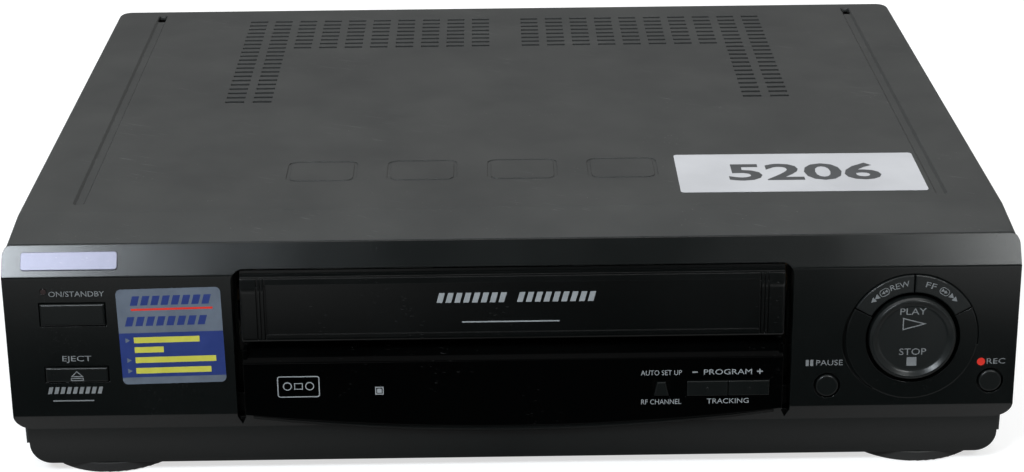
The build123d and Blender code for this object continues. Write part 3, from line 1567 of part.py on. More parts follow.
def belt_outline(offset):
    """A loop round both pulleys, at a distance outside them."""
    large = clutch_pulley_radius + offset
    small = capstan_pulley_radius + offset
    lean = math.acos((large - small) / belt_span)
    near_x = large * math.cos(lean)
    near_y = large * math.sin(lean)
    far_x = belt_span + small * math.cos(lean)
    far_y = small * math.sin(lean)
    with BuildSketch() as loop:
        with BuildLine():
            Line((near_x, near_y), (far_x, far_y))
            ThreePointArc((far_x, far_y), (belt_span + small, 0), (far_x, -far_y))
            Line((far_x, -far_y), (near_x, -near_y))
            ThreePointArc((near_x, -near_y), (-large, 0), (near_x, near_y))
        make_face()
    return loop.sketch


with BuildPart() as drive_belt:
    belt_place = Location((0, clutch_y, belt_z[0] + 1.4), (0, 0, belt_turn))
    extrude(to_extrude=belt_place * belt_outline(belt_gap + belt_thickness), amount=1.7)
    extrude(to_extrude=belt_place * belt_outline(belt_gap), amount=1.7, mode=Mode.SUBTRACT)
drive_belt.part.label = "drive_belt"
export_step(drive_belt.part, "parts/drive_belt.step")

# Idler arm: swings on the clutch's shaft and carries the idler wheel
with BuildPart() as idler_arm:
    with BuildSketch(Plane.XY.offset(deck_top_z + 0.3)) as idler_shape:
        with Locations((0, clutch_y - idler_reach / 2)):
            SlotCenterToCenter(idler_reach, 9, rotation=90)
        with Locations((0, clutch_y)):
            Circle(capstan_radius + running_gap, mode=Mode.SUBTRACT)
    extrude(amount=1.5)
    post(0, clutch_y - idler_reach, deck_top_z + 1, drive_z[1] + 1.0, 1.5)
idler_arm.part.label = "idler_arm"
export_step(idler_arm.part, "parts/idler_arm.step")

# Idler wheel, between the clutch wheel and the reel tables
with BuildPart() as idler_wheel:
    post(0, clutch_y - idler_reach, drive_z[0], drive_z[1], idler_radius)
    post(0, clutch_y - idler_reach, 0, recorder_height, 1.5 + running_gap, Mode.SUBTRACT)
idler_wheel.part.label = "idler_wheel"
export_step(idler_wheel.part, "parts/idler_wheel.step")


def reel_table(x):
    """A reel table with its splined spindle."""
    with BuildPart() as table:
        post(x, reel_y, drive_z[0], drive_z[1] + 0.5, reel_radius)
        post(x, reel_y, drive_z[1] + 0.4, drive_z[1] + 2.3, reel_radius + 3)
        post(x, reel_y, drive_z[1] + 2.2, drive_z[1] + 13.5, 4.6)
        with Locations((x, reel_y, drive_z[1] + 14.6)):
            Cone(4.6, 2.4, 2.4)
        with Locations((x, reel_y, drive_z[1] + 7)):
            with PolarLocations(4.5, 3):
                Box(3.2, 1.6, 10)
        post(x, reel_y, shaft_foot_z, drive_z[0] + 0.1, reel_shaft_radius)
        post(x, reel_y, shaft_foot_z, deck_bottom_z - 0.3, reel_shaft_radius + 1)
    return table.part


with BuildPart() as supply_reel_table:
    add(reel_table(-reel_spacing / 2))
supply_reel_table.part.label = "supply_reel_table"
export_step(supply_reel_table.part, "parts/supply_reel_table.step")

with BuildPart() as takeup_reel_table:
    add(reel_table(reel_spacing / 2))
takeup_reel_table.part.label = "takeup_reel_table"
export_step(takeup_reel_table.part, "parts/takeup_reel_table.step")

# Pinch arm and its roller
roller_x = pinch_x + pinch_reach * math.cos(math.radians(pinch_rest))
roller_y = pinch_y + pinch_reach * math.sin(math.radians(pinch_rest))
with BuildPart() as pinch_arm:
    with BuildSketch(Plane.XY.offset(deck_top_z + 6)) as pinch_shape:
        with Locations(((pinch_x + roller_x) / 2, (pinch_y + roller_y) / 2)):
            SlotCenterToCenter(pinch_reach, 9, rotation=pinch_rest)
    extrude(amount=2)
    post(pinch_x, pinch_y, deck_top_z + 1.7, deck_top_z + 12, 5)
    post(pinch_x, pinch_y, flywheel_z[1] + 0.6, deck_top_z + 3, pivot_radius)
    post(roller_x, roller_y, deck_top_z + 7, deck_top_z + 34, 1.5)
pinch_arm.part.label = "pinch_arm"
export_step(pinch_arm.part, "parts/pinch_arm.step")

with BuildPart() as pinch_roller:
    post(roller_x, roller_y, deck_top_z + 10, deck_top_z + 32, pinch_radius)
    post(roller_x, roller_y, deck_top_z + 8.3, deck_top_z + 33, 3.2)
    post(roller_x, roller_y, 0, recorder_height, 1.5 + running_gap, Mode.SUBTRACT)
pinch_roller.part.label = "pinch_roller"
export_step(pinch_roller.part, "parts/pinch_roller.step")


def tape_guide(track):
    """A sliding guide at the start of its track: base, roller and pin through the deck."""
    x, y = track[0]
    with BuildPart() as guide:
        with Locations(Location((x, y, deck_top_z + 2.3), (0, 0, track_angle(track)))):
            Box(guide_width, guide_width, 4)
        post(x, y, deck_top_z + 4, deck_top_z + 33.5, 1.5)
        post(x, y, deck_top_z + 10, deck_top_z + 31, 3)
        post(x, y, deck_top_z + 8.6, deck_top_z + 10, 4)
        post(x, y, deck_top_z + 31, deck_top_z + 32.4, 4)
        post(x, y, shaft_foot_z + 1.6, deck_top_z + 1, guide_slot / 2 - 0.2)
        post(x, y, shaft_foot_z, deck_bottom_z - 0.4, guide_slot / 2 + 1.5)
    return guide.part


with BuildPart() as supply_guide:
    add(tape_guide(supply_track))
supply_guide.part.label = "supply_guide"
export_step(supply_guide.part, "parts/supply_guide.step")

with BuildPart() as takeup_guide:
    add(tape_guide(takeup_track))
takeup_guide.part.label = "takeup_guide"
export_step(takeup_guide.part, "parts/takeup_guide.step")

# Erase head and sound-and-control head, each on its post
with BuildPart() as erase_head:
    post(erase_place[0], erase_place[1], deck_top_z, deck_top_z + 12, 4)
    block(
        erase_place[0] - 5,
        erase_place[0] + 5,
        erase_place[1] - 5,
        erase_place[1] + 5,
        deck_top_z + 11.9,
        deck_top_z + 32,
    )
    fillet(erase_head.edges().filter_by(Axis.Z).group_by(Axis.Y)[0], 2)
erase_head.part.label = "erase_head"
export_step(erase_head.part, "parts/erase_head.step")

with BuildPart() as sound_head:
    post(sound_place[0], sound_place[1], deck_top_z, deck_top_z + 8, 4)
    block(
        sound_place[0] - 5,
        sound_place[0] + 5,
        sound_place[1] - 7,
        sound_place[1] + 7,
        deck_top_z + 7.9,
        deck_top_z + 10,
    )
    block(
        sound_place[0] - 4.5,
        sound_place[0] + 4.5,
        sound_place[1] - 5,
        sound_place[1] + 6,
        deck_top_z + 9.9,
        deck_top_z + 32,
    )
sound_head.part.label = "sound_head"
export_step(sound_head.part, "parts/sound_head.step")

# Cam gear, turned by the loading motor's worm
cam_teeth = 60
with BuildPart() as cam_gear:
    post(cam_x, cam_y, cam_z[0], cam_z[1], cam_radius - 1.2)
    with BuildSketch(Plane.XY.offset(cam_z[0])) as teeth:
        with Locations((cam_x, cam_y)):
            with PolarLocations(cam_radius - 1.0, cam_teeth):
                Rectangle(2.0, 1.1)
    extrude(amount=cam_z[1] - cam_z[0])
    post(cam_x, cam_y, deck_top_z + 1.7, cam_z[0] + 1, 5)
    post(cam_x, cam_y, shaft_foot_z, deck_top_z + 3, pivot_radius)
    post(cam_x, cam_y, shaft_foot_z, deck_bottom_z - 0.3, pivot_radius + 1)
    with BuildSketch(Plane.XY.offset(cam_z[1])) as groove:
        with Locations((cam_x, cam_y)):
            SlotArc(CenterArc((0, 0), 14.5, 20, 270), 3)
    extrude(amount=-2, mode=Mode.SUBTRACT)
cam_gear.part.label = "cam_gear"
export_step(cam_gear.part, "parts/cam_gear.step")

# Loading worm and the motor that carries it
with BuildPart() as loading_worm:
    bar_y(worm_x, cam_y - 9, cam_y + 9, worm_z, worm_radius - 1)
    for turn in range(9):
        with Locations(Location((worm_x, cam_y - 8 + 2 * turn, worm_z), (90, 0, 0))):
            Cylinder(worm_radius, 0.8)
    bar_y(worm_x, cam_y - 13, motor_y + 6, worm_z, 1.0)
loading_worm.part.label = "loading_worm"
export_step(loading_worm.part, "parts/loading_worm.step")

with BuildPart() as loading_motor:
    bar_y(worm_x, motor_y, motor_y + 20, worm_z, motor_radius)
    block(worm_x - 9, worm_x + 9, motor_y - 1.2, motor_y + 0.1, deck_top_z, worm_z + 10)
    block(worm_x - 9, worm_x + 9, motor_y - 1.2, motor_y + 8, deck_top_z, deck_top_z + 1.2)
    bar_y(worm_x, motor_y - 2, motor_y + 8, worm_z, 1.0 + running_gap, Mode.SUBTRACT)
loading_motor.part.label = "loading_motor"
export_step(loading_motor.part, "parts/loading_motor.step")
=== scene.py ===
import bpy
import bmesh
import math
from mathutils import Matrix, Vector


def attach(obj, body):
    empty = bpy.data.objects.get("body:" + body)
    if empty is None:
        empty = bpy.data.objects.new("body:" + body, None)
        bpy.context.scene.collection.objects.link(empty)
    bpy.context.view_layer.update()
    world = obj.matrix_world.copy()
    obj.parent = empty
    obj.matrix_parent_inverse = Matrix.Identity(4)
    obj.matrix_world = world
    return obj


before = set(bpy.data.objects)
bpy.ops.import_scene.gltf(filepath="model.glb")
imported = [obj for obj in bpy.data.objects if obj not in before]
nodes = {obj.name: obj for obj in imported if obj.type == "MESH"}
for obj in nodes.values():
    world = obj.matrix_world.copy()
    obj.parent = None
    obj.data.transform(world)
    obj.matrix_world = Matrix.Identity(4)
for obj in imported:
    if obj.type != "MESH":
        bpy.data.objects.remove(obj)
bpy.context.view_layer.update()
mm = 0.001

# the front face leans back; everything printed on it uses this frame
face = {"foot": 26.0, "head": 81.6, "front": -150.0, "lean": 4.7}
faceTilt = math.atan2(face["lean"], face["head"] - face["foot"])
coverTop = 94.7


def facePlace(x, z, proud=0.0, turn=0.0):
    # a matrix on the leaning face: local X to the right, local Y up the face, local Z outwards
    y = face["front"] + (z - face["foot"]) * math.tan(faceTilt) - proud / math.cos(faceTilt)
    lie = Matrix.Rotation(math.pi / 2 - faceTilt, 4, "X")
    return Matrix.Translation(Vector((x, y, z)) * mm) @ lie @ Matrix.Rotation(turn, 4, "Z")


def topPlace(x, y, proud=0.0, turn=0.0):
    # a matrix lying on the cover's flat top
    return Matrix.Translation(Vector((x, y, coverTop + proud)) * mm) @ Matrix.Rotation(turn, 4, "Z")


# node helpers


def addNode(tree, kind, **values):
    made = tree.nodes.new(kind)
    for key, value in values.items():
        if key in made.inputs:
            made.inputs[key].default_value = value
        else:
            setattr(made, key, value)
    return made


def join(tree, source, target):
    tree.links.new(source, target)


def maths(tree, operation, a, b=None, clamp=False):
    made = tree.nodes.new("ShaderNodeMath")
    made.operation = operation
    made.use_clamp = clamp
    for slot, value in enumerate((a, b)):
        if value is None:
            continue
        if isinstance(value, (int, float)):
            made.inputs[slot].default_value = value
        else:
            tree.links.new(value, made.inputs[slot])
    return made.outputs[0]


def mixColour(tree, factor, a, b):
    made = tree.nodes.new("ShaderNodeMix")
    made.data_type = "RGBA"
    for slot, value in ((0, factor), (6, a), (7, b)):
        if isinstance(value, (int, float)):
            made.inputs[slot].default_value = value
        elif isinstance(value, tuple):
            made.inputs[slot].default_value = (*value, 1.0)
        else:
            tree.links.new(value, made.inputs[slot])
    return made.outputs[2]


def span(tree, value, low, high, toLow=0.0, toHigh=1.0):
    made = tree.nodes.new("ShaderNodeMapRange")
    tree.links.new(value, made.inputs["Value"])
    made.inputs["From Min"].default_value = low
    made.inputs["From Max"].default_value = high
    made.inputs["To Min"].default_value = toLow
    made.inputs["To Max"].default_value = toHigh
    return made.outputs[0]


def startGroup(name, inputs, outputs):
    tree = bpy.data.node_groups.new(name, "ShaderNodeTree")
    for label, value in inputs:
        socket = tree.interface.new_socket(name=label, in_out="INPUT", socket_type="NodeSocketFloat")
        socket.default_value = value
    for label in outputs:
        kind = "NodeSocketVector" if label == "Normal" else "NodeSocketFloat"
        tree.interface.new_socket(name=label, in_out="OUTPUT", socket_type=kind)
    return tree, tree.nodes.new("NodeGroupInput").outputs, tree.nodes.new("NodeGroupOutput").inputs


def placeGroup(tree, group, **values):
    made = tree.nodes.new("ShaderNodeGroup")
    made.node_tree = group
    for key, value in values.items():
        made.inputs[key].default_value = value
    return made.outputs


# shared effects


def makeGrain():
    # fine moulded or sprayed texture: a height for the bump and a slow cloud for colour
    tree, given, out = startGroup("fineGrain", [("Size", 0.6), ("Cloud Size", 40.0)], ["Height", "Cloud"])
    place = tree.nodes.new("ShaderNodeTexCoord").outputs["Object"]
    fine = addNode(tree, "ShaderNodeTexNoise", Detail=3.0, Roughness=0.6)
    join(tree, place, fine.inputs["Vector"])
    join(tree, maths(tree, "DIVIDE", 1000.0, given["Size"]), fine.inputs["Scale"])
    cloud = addNode(tree, "ShaderNodeTexNoise", Detail=4.0, Roughness=0.55)
    join(tree, place, cloud.inputs["Vector"])
    join(tree, maths(tree, "DIVIDE", 1000.0, given["Cloud Size"]), cloud.inputs["Scale"])
    join(tree, fine.outputs["Fac"], out["Height"])
    join(tree, span(tree, cloud.outputs["Fac"], 0.3, 0.7), out["Cloud"])
    return tree


def makeEdgeWear():
    # rubbed edges, found by comparing the rounded normal with the true one
    tree, given, out = startGroup("edgeWear", [("Width", 0.4), ("Amount", 0.5), ("Breakup", 0.5)], ["Mask"])
    rounded = addNode(tree, "ShaderNodeBevel", samples=4)
    join(tree, maths(tree, "MULTIPLY", given["Width"], mm), rounded.inputs["Radius"])
    true = tree.nodes.new("ShaderNodeNewGeometry").outputs["Normal"]
    compare = addNode(tree, "ShaderNodeVectorMath", operation="DOT_PRODUCT")
    join(tree, rounded.outputs[0], compare.inputs[0])
    join(tree, true, compare.inputs[1])
    edge = span(tree, compare.outputs["Value"], 0.99, 0.8)
    place = tree.nodes.new("ShaderNodeTexCoord").outputs["Object"]
    patch = addNode(tree, "ShaderNodeTexNoise", Scale=140.0, Detail=5.0)
    join(tree, place, patch.inputs["Vector"])
    ragged = span(tree, patch.outputs["Fac"], 0.35, 0.65)
    broken = maths(tree, "SUBTRACT", 1.0, maths(tree, "MULTIPLY", ragged, given["Breakup"]))
    mask = maths(tree, "MULTIPLY", maths(tree, "MULTIPLY", edge, broken), given["Amount"], clamp=True)
    join(tree, mask, out["Mask"])
    return tree


def makeDust():
    # dust lies on what faces up, in patches, with a few specks
    tree, given, out = startGroup("dustFilm", [("Amount", 0.3), ("Specks", 0.3)], ["Mask"])
    normal = tree.nodes.new("ShaderNodeNewGeometry").outputs["Normal"]
    apart = addNode(tree, "ShaderNodeSeparateXYZ")
    join(tree, normal, apart.inputs[0])
    upward = span(tree, apart.outputs["Z"], 0.2, 0.95)
    place = tree.nodes.new("ShaderNodeTexCoord").outputs["Object"]
    patch = addNode(tree, "ShaderNodeTexNoise", Scale=22.0, Detail=6.0, Roughness=0.65)
    join(tree, place, patch.inputs["Vector"])
    film = maths(tree, "MULTIPLY", span(tree, patch.outputs["Fac"], 0.35, 0.75), given["Amount"])
    speck = addNode(tree, "ShaderNodeTexVoronoi", Scale=420.0)
    join(tree, place, speck.inputs["Vector"])
    spot = span(tree, speck.outputs["Distance"], 0.13, 0.05)
    rare = addNode(tree, "ShaderNodeTexNoise", Scale=60.0, Detail=2.0)
    join(tree, place, rare.inputs["Vector"])
    kept = maths(tree, "MULTIPLY", spot, span(tree, rare.outputs["Fac"], 0.55, 0.68))
    specks = maths(tree, "MULTIPLY", kept, given["Specks"])
    both = maths(tree, "ADD", film, specks, clamp=True)
    join(tree, maths(tree, "MULTIPLY", both, upward), out["Mask"])
    return tree


def makeScuffs():
    # thin hairline scratches, long in one direction and broken up
    tree, given, out = startGroup("hairScuffs", [("Amount", 0.3), ("Turn", 0.5)], ["Mask"])
    place = tree.nodes.new("ShaderNodeTexCoord").outputs["Object"]
    turned = addNode(tree, "ShaderNodeVectorRotate", rotation_type="Z_AXIS")
    join(tree, place, turned.inputs["Vector"])
    join(tree, given["Turn"], turned.inputs["Angle"])
    long = addNode(tree, "ShaderNodeMapping")
    long.inputs["Scale"].default_value = (60.0, 2400.0, 2400.0)
    join(tree, turned.outputs[0], long.inputs["Vector"])
    hair = addNode(tree, "ShaderNodeTexNoise", Scale=1.0, Detail=1.0)
    join(tree, long.outputs[0], hair.inputs["Vector"])
    line = span(tree, hair.outputs["Fac"], 0.70, 0.76)
    patch = addNode(tree, "ShaderNodeTexNoise", Scale=30.0, Detail=3.0)
    join(tree, place, patch.inputs["Vector"])
    kept = maths(tree, "MULTIPLY", line, span(tree, patch.outputs["Fac"], 0.5, 0.66))
    join(tree, maths(tree, "MULTIPLY", kept, given["Amount"], clamp=True), out["Mask"])
    return tree


def makeSoftEdge():
    # light catches on edges as if they were slightly rounded
    tree, given, out = startGroup("softEdge", [("Radius", 0.3)], ["Normal"])
    rounded = addNode(tree, "ShaderNodeBevel", samples=6)
    join(tree, maths(tree, "MULTIPLY", given["Radius"], mm), rounded.inputs["Radius"])
    join(tree, rounded.outputs[0], out["Normal"])
    return tree


effects = {
    "grain": makeGrain(),
    "wear": makeEdgeWear(),
    "dust": makeDust(),
    "scuffs": makeScuffs(),
    "edge": makeSoftEdge(),
}
print("effects ready")


def makeFinish(name, look):
    # one finish: a base colour clouded with a second, dusted, rubbed and scratched, with a fine bump
    made = bpy.data.materials.new(name)
    made.use_nodes = True
    tree = made.node_tree
    skin = tree.nodes["Principled BSDF"]
    sizes = {"Size": look["grain"], "Cloud Size": look.get("cloud", 40.0)}
    grain = placeGroup(tree, effects["grain"], **sizes)
    shade = mixColour(tree, grain["Cloud"], look["colour"], look["second"])
    rough = span(tree, grain["Cloud"], 0.0, 1.0, look["rough"][0], look["rough"][1])
    if look.get("wear"):
        width, amount = look["wear"]
        rubbed = placeGroup(tree, effects["wear"], Width=width, Amount=amount, Breakup=0.7)["Mask"]
        shade = mixColour(tree, rubbed, shade, look["wornColour"])
    if look.get("dust"):
        amount, specks = look["dust"]
        dusty = placeGroup(tree, effects["dust"], Amount=amount, Specks=specks)["Mask"]
        shade = mixColour(tree, dusty, shade, look.get("dustColour", (0.30, 0.29, 0.27)))
        rough = maths(tree, "ADD", rough, maths(tree, "MULTIPLY", dusty, 0.3), clamp=True)
    if look.get("scuffs"):
        amount, turn = look["scuffs"]
        marks = placeGroup(tree, effects["scuffs"], Amount=amount, Turn=turn)["Mask"]
        shade = mixColour(tree, marks, shade, look.get("scuffColour", (0.35, 0.35, 0.34)))
    join(tree, shade, skin.inputs["Base Color"])
    join(tree, rough, skin.inputs["Roughness"])
    skin.inputs["Metallic"].default_value = look.get("metal", 0.0)
    skin.inputs["Specular IOR Level"].default_value = look.get("shine", 0.5)
    skin.inputs["Coat Weight"].default_value = look.get("coat", 0.0)
    skin.inputs["Coat Roughness"].default_value = look.get("coatRough", 0.05)
    bump = addNode(tree, "ShaderNodeBump", Strength=look["bump"], Distance=look.get("depth", 0.05) * mm)
    join(tree, grain["Height"], bump.inputs["Height"])
    if look.get("edge"):
        soft = placeGroup(tree, effects["edge"], Radius=look["edge"])["Normal"]
        join(tree, soft, bump.inputs["Normal"])
    join(tree, bump.outputs[0], skin.inputs["Normal"])
    return made


finishes = {
    "coverPaint": {
        "colour": (0.0345, 0.0354, 0.0345), "second": (0.040, 0.0413, 0.040), "rough": (0.48, 0.56),
        "grain": 0.5, "bump": 0.35, "depth": 0.06, "shine": 0.25, "edge": 0.5,
        "wear": (0.35, 0.25), "wornColour": (0.16, 0.16, 0.155), "dust": (0.05, 0.4), "scuffs": (0.25, 0.4),
        "cloud": 90.0,
    },
    "panelPlastic": {
        "colour": (0.0033, 0.0042, 0.0040), "second": (0.0041, 0.0051, 0.0049), "rough": (0.17, 0.21),
        "grain": 0.35, "bump": 0.15, "depth": 0.03, "shine": 0.45, "edge": 0.35,
        "wear": (0.25, 0.2), "wornColour": (0.03, 0.033, 0.034), "dust": (0.008, 0.08), "scuffs": (0.06, 1.2),
    },
    "flapPlastic": {
        "colour": (0.0014, 0.0019, 0.0018), "second": (0.0020, 0.0026, 0.0025), "rough": (0.20, 0.26),
        "grain": 0.35, "bump": 0.18, "depth": 0.03, "shine": 0.42, "edge": 0.3,
        "wear": (0.2, 0.2), "wornColour": (0.04, 0.042, 0.042), "dust": (0.01, 0.1), "scuffs": (0.07, 0.2),
    },
    "windowGloss": {
        "colour": (0.0004, 0.0005, 0.0005), "second": (0.0006, 0.0007, 0.0007), "rough": (0.06, 0.10),
        "grain": 2.5, "bump": 0.02, "depth": 0.02, "shine": 0.24, "edge": 0.3,
        "dust": (0.004, 0.1), "scuffs": (0.06, 0.15),
    },
    "buttonPlastic": {
        "colour": (0.0034, 0.0046, 0.0044), "second": (0.0046, 0.0060, 0.0058), "rough": (0.26, 0.33),
        "grain": 0.3, "bump": 0.2, "depth": 0.03, "shine": 0.42, "edge": 0.3,
        "wear": (0.2, 0.4), "wornColour": (0.05, 0.052, 0.052), "dust": (0.008, 0.15),
    },
    "ringPlastic": {
        "colour": (0.0078, 0.0094, 0.0092), "second": (0.0096, 0.0115, 0.0112), "rough": (0.28, 0.35),
        "grain": 0.3, "bump": 0.2, "depth": 0.03, "shine": 0.45, "edge": 0.3,
        "wear": (0.2, 0.4), "wornColour": (0.05, 0.052, 0.052), "dust": (0.015, 0.2),
    },
    "footPlastic": {
        "colour": (0.012, 0.012, 0.012), "second": (0.018, 0.018, 0.017), "rough": (0.6, 0.7),
        "grain": 0.8, "bump": 0.4, "depth": 0.08, "edge": 0.5, "dust": (0.3, 0.4),
        "wear": (0.4, 0.4), "wornColour": (0.05, 0.05, 0.048),
    },
    "zincSteel": {
        "colour": (0.48, 0.48, 0.46), "second": (0.56, 0.56, 0.53), "rough": (0.34, 0.46), "metal": 1.0,
        "grain": 3.0, "bump": 0.08, "depth": 0.04, "edge": 0.3, "cloud": 14.0, "scuffs": (0.3, 0.7),
        "scuffColour": (0.3, 0.3, 0.29),
    },
    "brightSteel": {
        "colour": (0.58, 0.58, 0.57), "second": (0.64, 0.64, 0.63), "rough": (0.16, 0.24), "metal": 1.0,
        "grain": 1.0, "bump": 0.05, "depth": 0.02, "edge": 0.2, "cloud": 8.0,
    },
    "tinnedSteel": {
        "colour": (0.60, 0.60, 0.56), "second": (0.68, 0.67, 0.62), "rough": (0.3, 0.42), "metal": 1.0,
        "grain": 2.0, "bump": 0.1, "depth": 0.04, "edge": 0.3, "cloud": 10.0, "scuffs": (0.3, 0.2),
        "scuffColour": (0.34, 0.33, 0.3),
    },
    "blackSteel": {
        "colour": (0.025, 0.025, 0.026), "second": (0.04, 0.04, 0.04), "rough": (0.35, 0.45), "metal": 0.7,
        "grain": 0.6, "bump": 0.15, "depth": 0.03, "edge": 0.2,
        "wear": (0.2, 0.8), "wornColour": (0.3, 0.3, 0.29),
    },
    "turnedAlloy": {
        "colour": (0.66, 0.66, 0.66), "second": (0.72, 0.72, 0.72), "rough": (0.18, 0.26), "metal": 1.0,
        "grain": 0.8, "bump": 0.06, "depth": 0.02, "edge": 0.25, "cloud": 20.0,
    },
    "castAlloy": {
        "colour": (0.46, 0.46, 0.47), "second": (0.54, 0.54, 0.55), "rough": (0.4, 0.5), "metal": 1.0,
        "grain": 0.8, "bump": 0.3, "depth": 0.05, "edge": 0.3, "dust": (0.1, 0.3),
    },
    "boardLaminate": {
        "colour": (0.24, 0.14, 0.05), "second": (0.28, 0.17, 0.065), "rough": (0.4, 0.5),
        "grain": 1.2, "bump": 0.1, "depth": 0.03, "dust": (0.2, 0.5),
    },
    "chipPlastic": {
        "colour": (0.016, 0.016, 0.018), "second": (0.024, 0.024, 0.026), "rough": (0.45, 0.55),
        "grain": 0.5, "bump": 0.2, "depth": 0.03, "edge": 0.2, "dust": (0.25, 0.5),
    },
    "socketPlastic": {
        "colour": (0.016, 0.016, 0.017), "second": (0.022, 0.022, 0.022), "rough": (0.4, 0.5),
        "grain": 0.4, "bump": 0.2, "depth": 0.03, "edge": 0.3, "dust": (0.1, 0.3),
        "wear": (0.3, 0.3), "wornColour": (0.08, 0.08, 0.08),
    },
    "creamPlastic": {
        "colour": (0.60, 0.58, 0.50), "second": (0.66, 0.64, 0.56), "rough": (0.38, 0.48),
        "grain": 0.5, "bump": 0.12, "depth": 0.03, "edge": 0.25, "dust": (0.06, 0.3),
    },
    "mechanismBlack": {
        "colour": (0.02, 0.02, 0.021), "second": (0.028, 0.028, 0.028), "rough": (0.4, 0.5),
        "grain": 0.5, "bump": 0.15, "depth": 0.03, "edge": 0.25, "dust": (0.08, 0.4),
    },
    "softRubber": {
        "colour": (0.014, 0.014, 0.014), "second": (0.022, 0.022, 0.021), "rough": (0.62, 0.75),
        "grain": 0.5, "bump": 0.3, "depth": 0.04, "edge": 0.25, "dust": (0.1, 0.3),
    },
    "varnishedIron": {
        "colour": (0.07, 0.065, 0.06), "second": (0.10, 0.09, 0.08), "rough": (0.4, 0.52), "metal": 0.5,
        "grain": 1.0, "bump": 0.25, "depth": 0.06, "edge": 0.3, "dust": (0.2, 0.4),
    },
    "silverPlate": {
        "colour": (0.155, 0.152, 0.205), "second": (0.20, 0.197, 0.255), "rough": (0.3, 0.38), "metal": 0.3,
        "grain": 0.4, "bump": 0.06, "depth": 0.02, "edge": 0.25, "scuffs": (0.4, 0.3), "cloud": 12.0,
        "wear": (0.2, 0.6), "wornColour": (0.7, 0.7, 0.72),
    },
    "darkLens": {
        "colour": (0.010, 0.003, 0.003), "second": (0.014, 0.004, 0.004), "rough": (0.12, 0.17),
        "grain": 0.6, "bump": 0.05, "depth": 0.02, "coat": 0.4, "edge": 0.2,
    },
    "smokedLens": {
        "colour": (0.012, 0.006, 0.008), "second": (0.018, 0.008, 0.01), "rough": (0.1, 0.15),
        "grain": 0.6, "bump": 0.04, "depth": 0.02, "coat": 0.4, "edge": 0.2,
    },
    "displayGlass": {
        "colour": (0.02, 0.035, 0.034), "second": (0.03, 0.045, 0.044), "rough": (0.06, 0.1),
        "grain": 2.0, "bump": 0.03, "depth": 0.02, "coat": 0.5, "edge": 0.2,
    },
    "printGrey": {
        "colour": (0.24, 0.255, 0.265), "second": (0.30, 0.315, 0.325), "rough": (0.45, 0.55),
        "grain": 0.2, "bump": 0.1, "depth": 0.01, "shine": 0.3, "cloud": 6.0,
    },
    "printShade": {
        "colour": (0.16, 0.168, 0.172), "second": (0.20, 0.208, 0.212), "rough": (0.45, 0.55),
        "grain": 0.2, "bump": 0.1, "depth": 0.01, "shine": 0.3, "cloud": 6.0,
    },
    "boardDark": {
        "colour": (0.010, 0.012, 0.009), "second": (0.014, 0.017, 0.012), "rough": (0.5, 0.6),
        "grain": 1.2, "bump": 0.1, "depth": 0.03, "shine": 0.2, "dust": (0.1, 0.3),
    },
    "printRed": {
        "colour": (0.62, 0.02, 0.01), "second": (0.70, 0.035, 0.02), "rough": (0.4, 0.5),
        "grain": 0.2, "bump": 0.1, "depth": 0.01, "shine": 0.3, "cloud": 6.0,
    },
    "printDigits": {
        "colour": (0.058, 0.06, 0.062), "second": (0.075, 0.077, 0.08), "rough": (0.5, 0.6),
        "grain": 0.25, "bump": 0.12, "depth": 0.01, "shine": 0.3, "cloud": 9.0,
    },
    "printSilver": {
        "colour": (0.12, 0.145, 0.185), "second": (0.15, 0.18, 0.225), "rough": (0.3, 0.4), "metal": 0.2,
        "grain": 0.2, "bump": 0.1, "depth": 0.01, "cloud": 6.0,
    },
    "printBlue": {
        "colour": (0.013, 0.030, 0.150), "second": (0.018, 0.038, 0.180), "rough": (0.3, 0.38),
        "grain": 0.2, "bump": 0.1, "depth": 0.01, "cloud": 8.0,
    },
    "printYellow": {
        "colour": (0.50, 0.48, 0.05), "second": (0.56, 0.54, 0.075), "rough": (0.35, 0.42),
        "grain": 0.2, "bump": 0.1, "depth": 0.01, "cloud": 6.0,
    },
}
skins = {name: makeFinish(name, look) for name, look in finishes.items()}
print("finishes ready")


def makeLabelPaper():
    # matt white label paper with a faint fibre and grey hairline scuffs
    paper = bpy.data.materials.new("labelPaper")
    paper.use_nodes = True
    tree = paper.node_tree
    skin = tree.nodes["Principled BSDF"]
    grain = placeGroup(tree, effects["grain"], **{"Size": 0.25, "Cloud Size": 30.0})
    shade = mixColour(tree, grain["Cloud"], (0.47, 0.47, 0.485), (0.53, 0.53, 0.545))
    marks = placeGroup(tree, effects["scuffs"], Amount=0.25, Turn=0.9)["Mask"]
    shade = mixColour(tree, marks, shade, (0.33, 0.33, 0.34))
    join(tree, shade, skin.inputs["Base Color"])
    join(tree, span(tree, grain["Cloud"], 0.0, 1.0, 0.5, 0.62), skin.inputs["Roughness"])
    bump = addNode(tree, "ShaderNodeBump", Strength=0.15, Distance=0.02 * mm)
    join(tree, grain["Height"], bump.inputs["Height"])
    join(tree, bump.outputs[0], skin.inputs["Normal"])
    return paper


skins["labelPaper"] = makeLabelPaper()

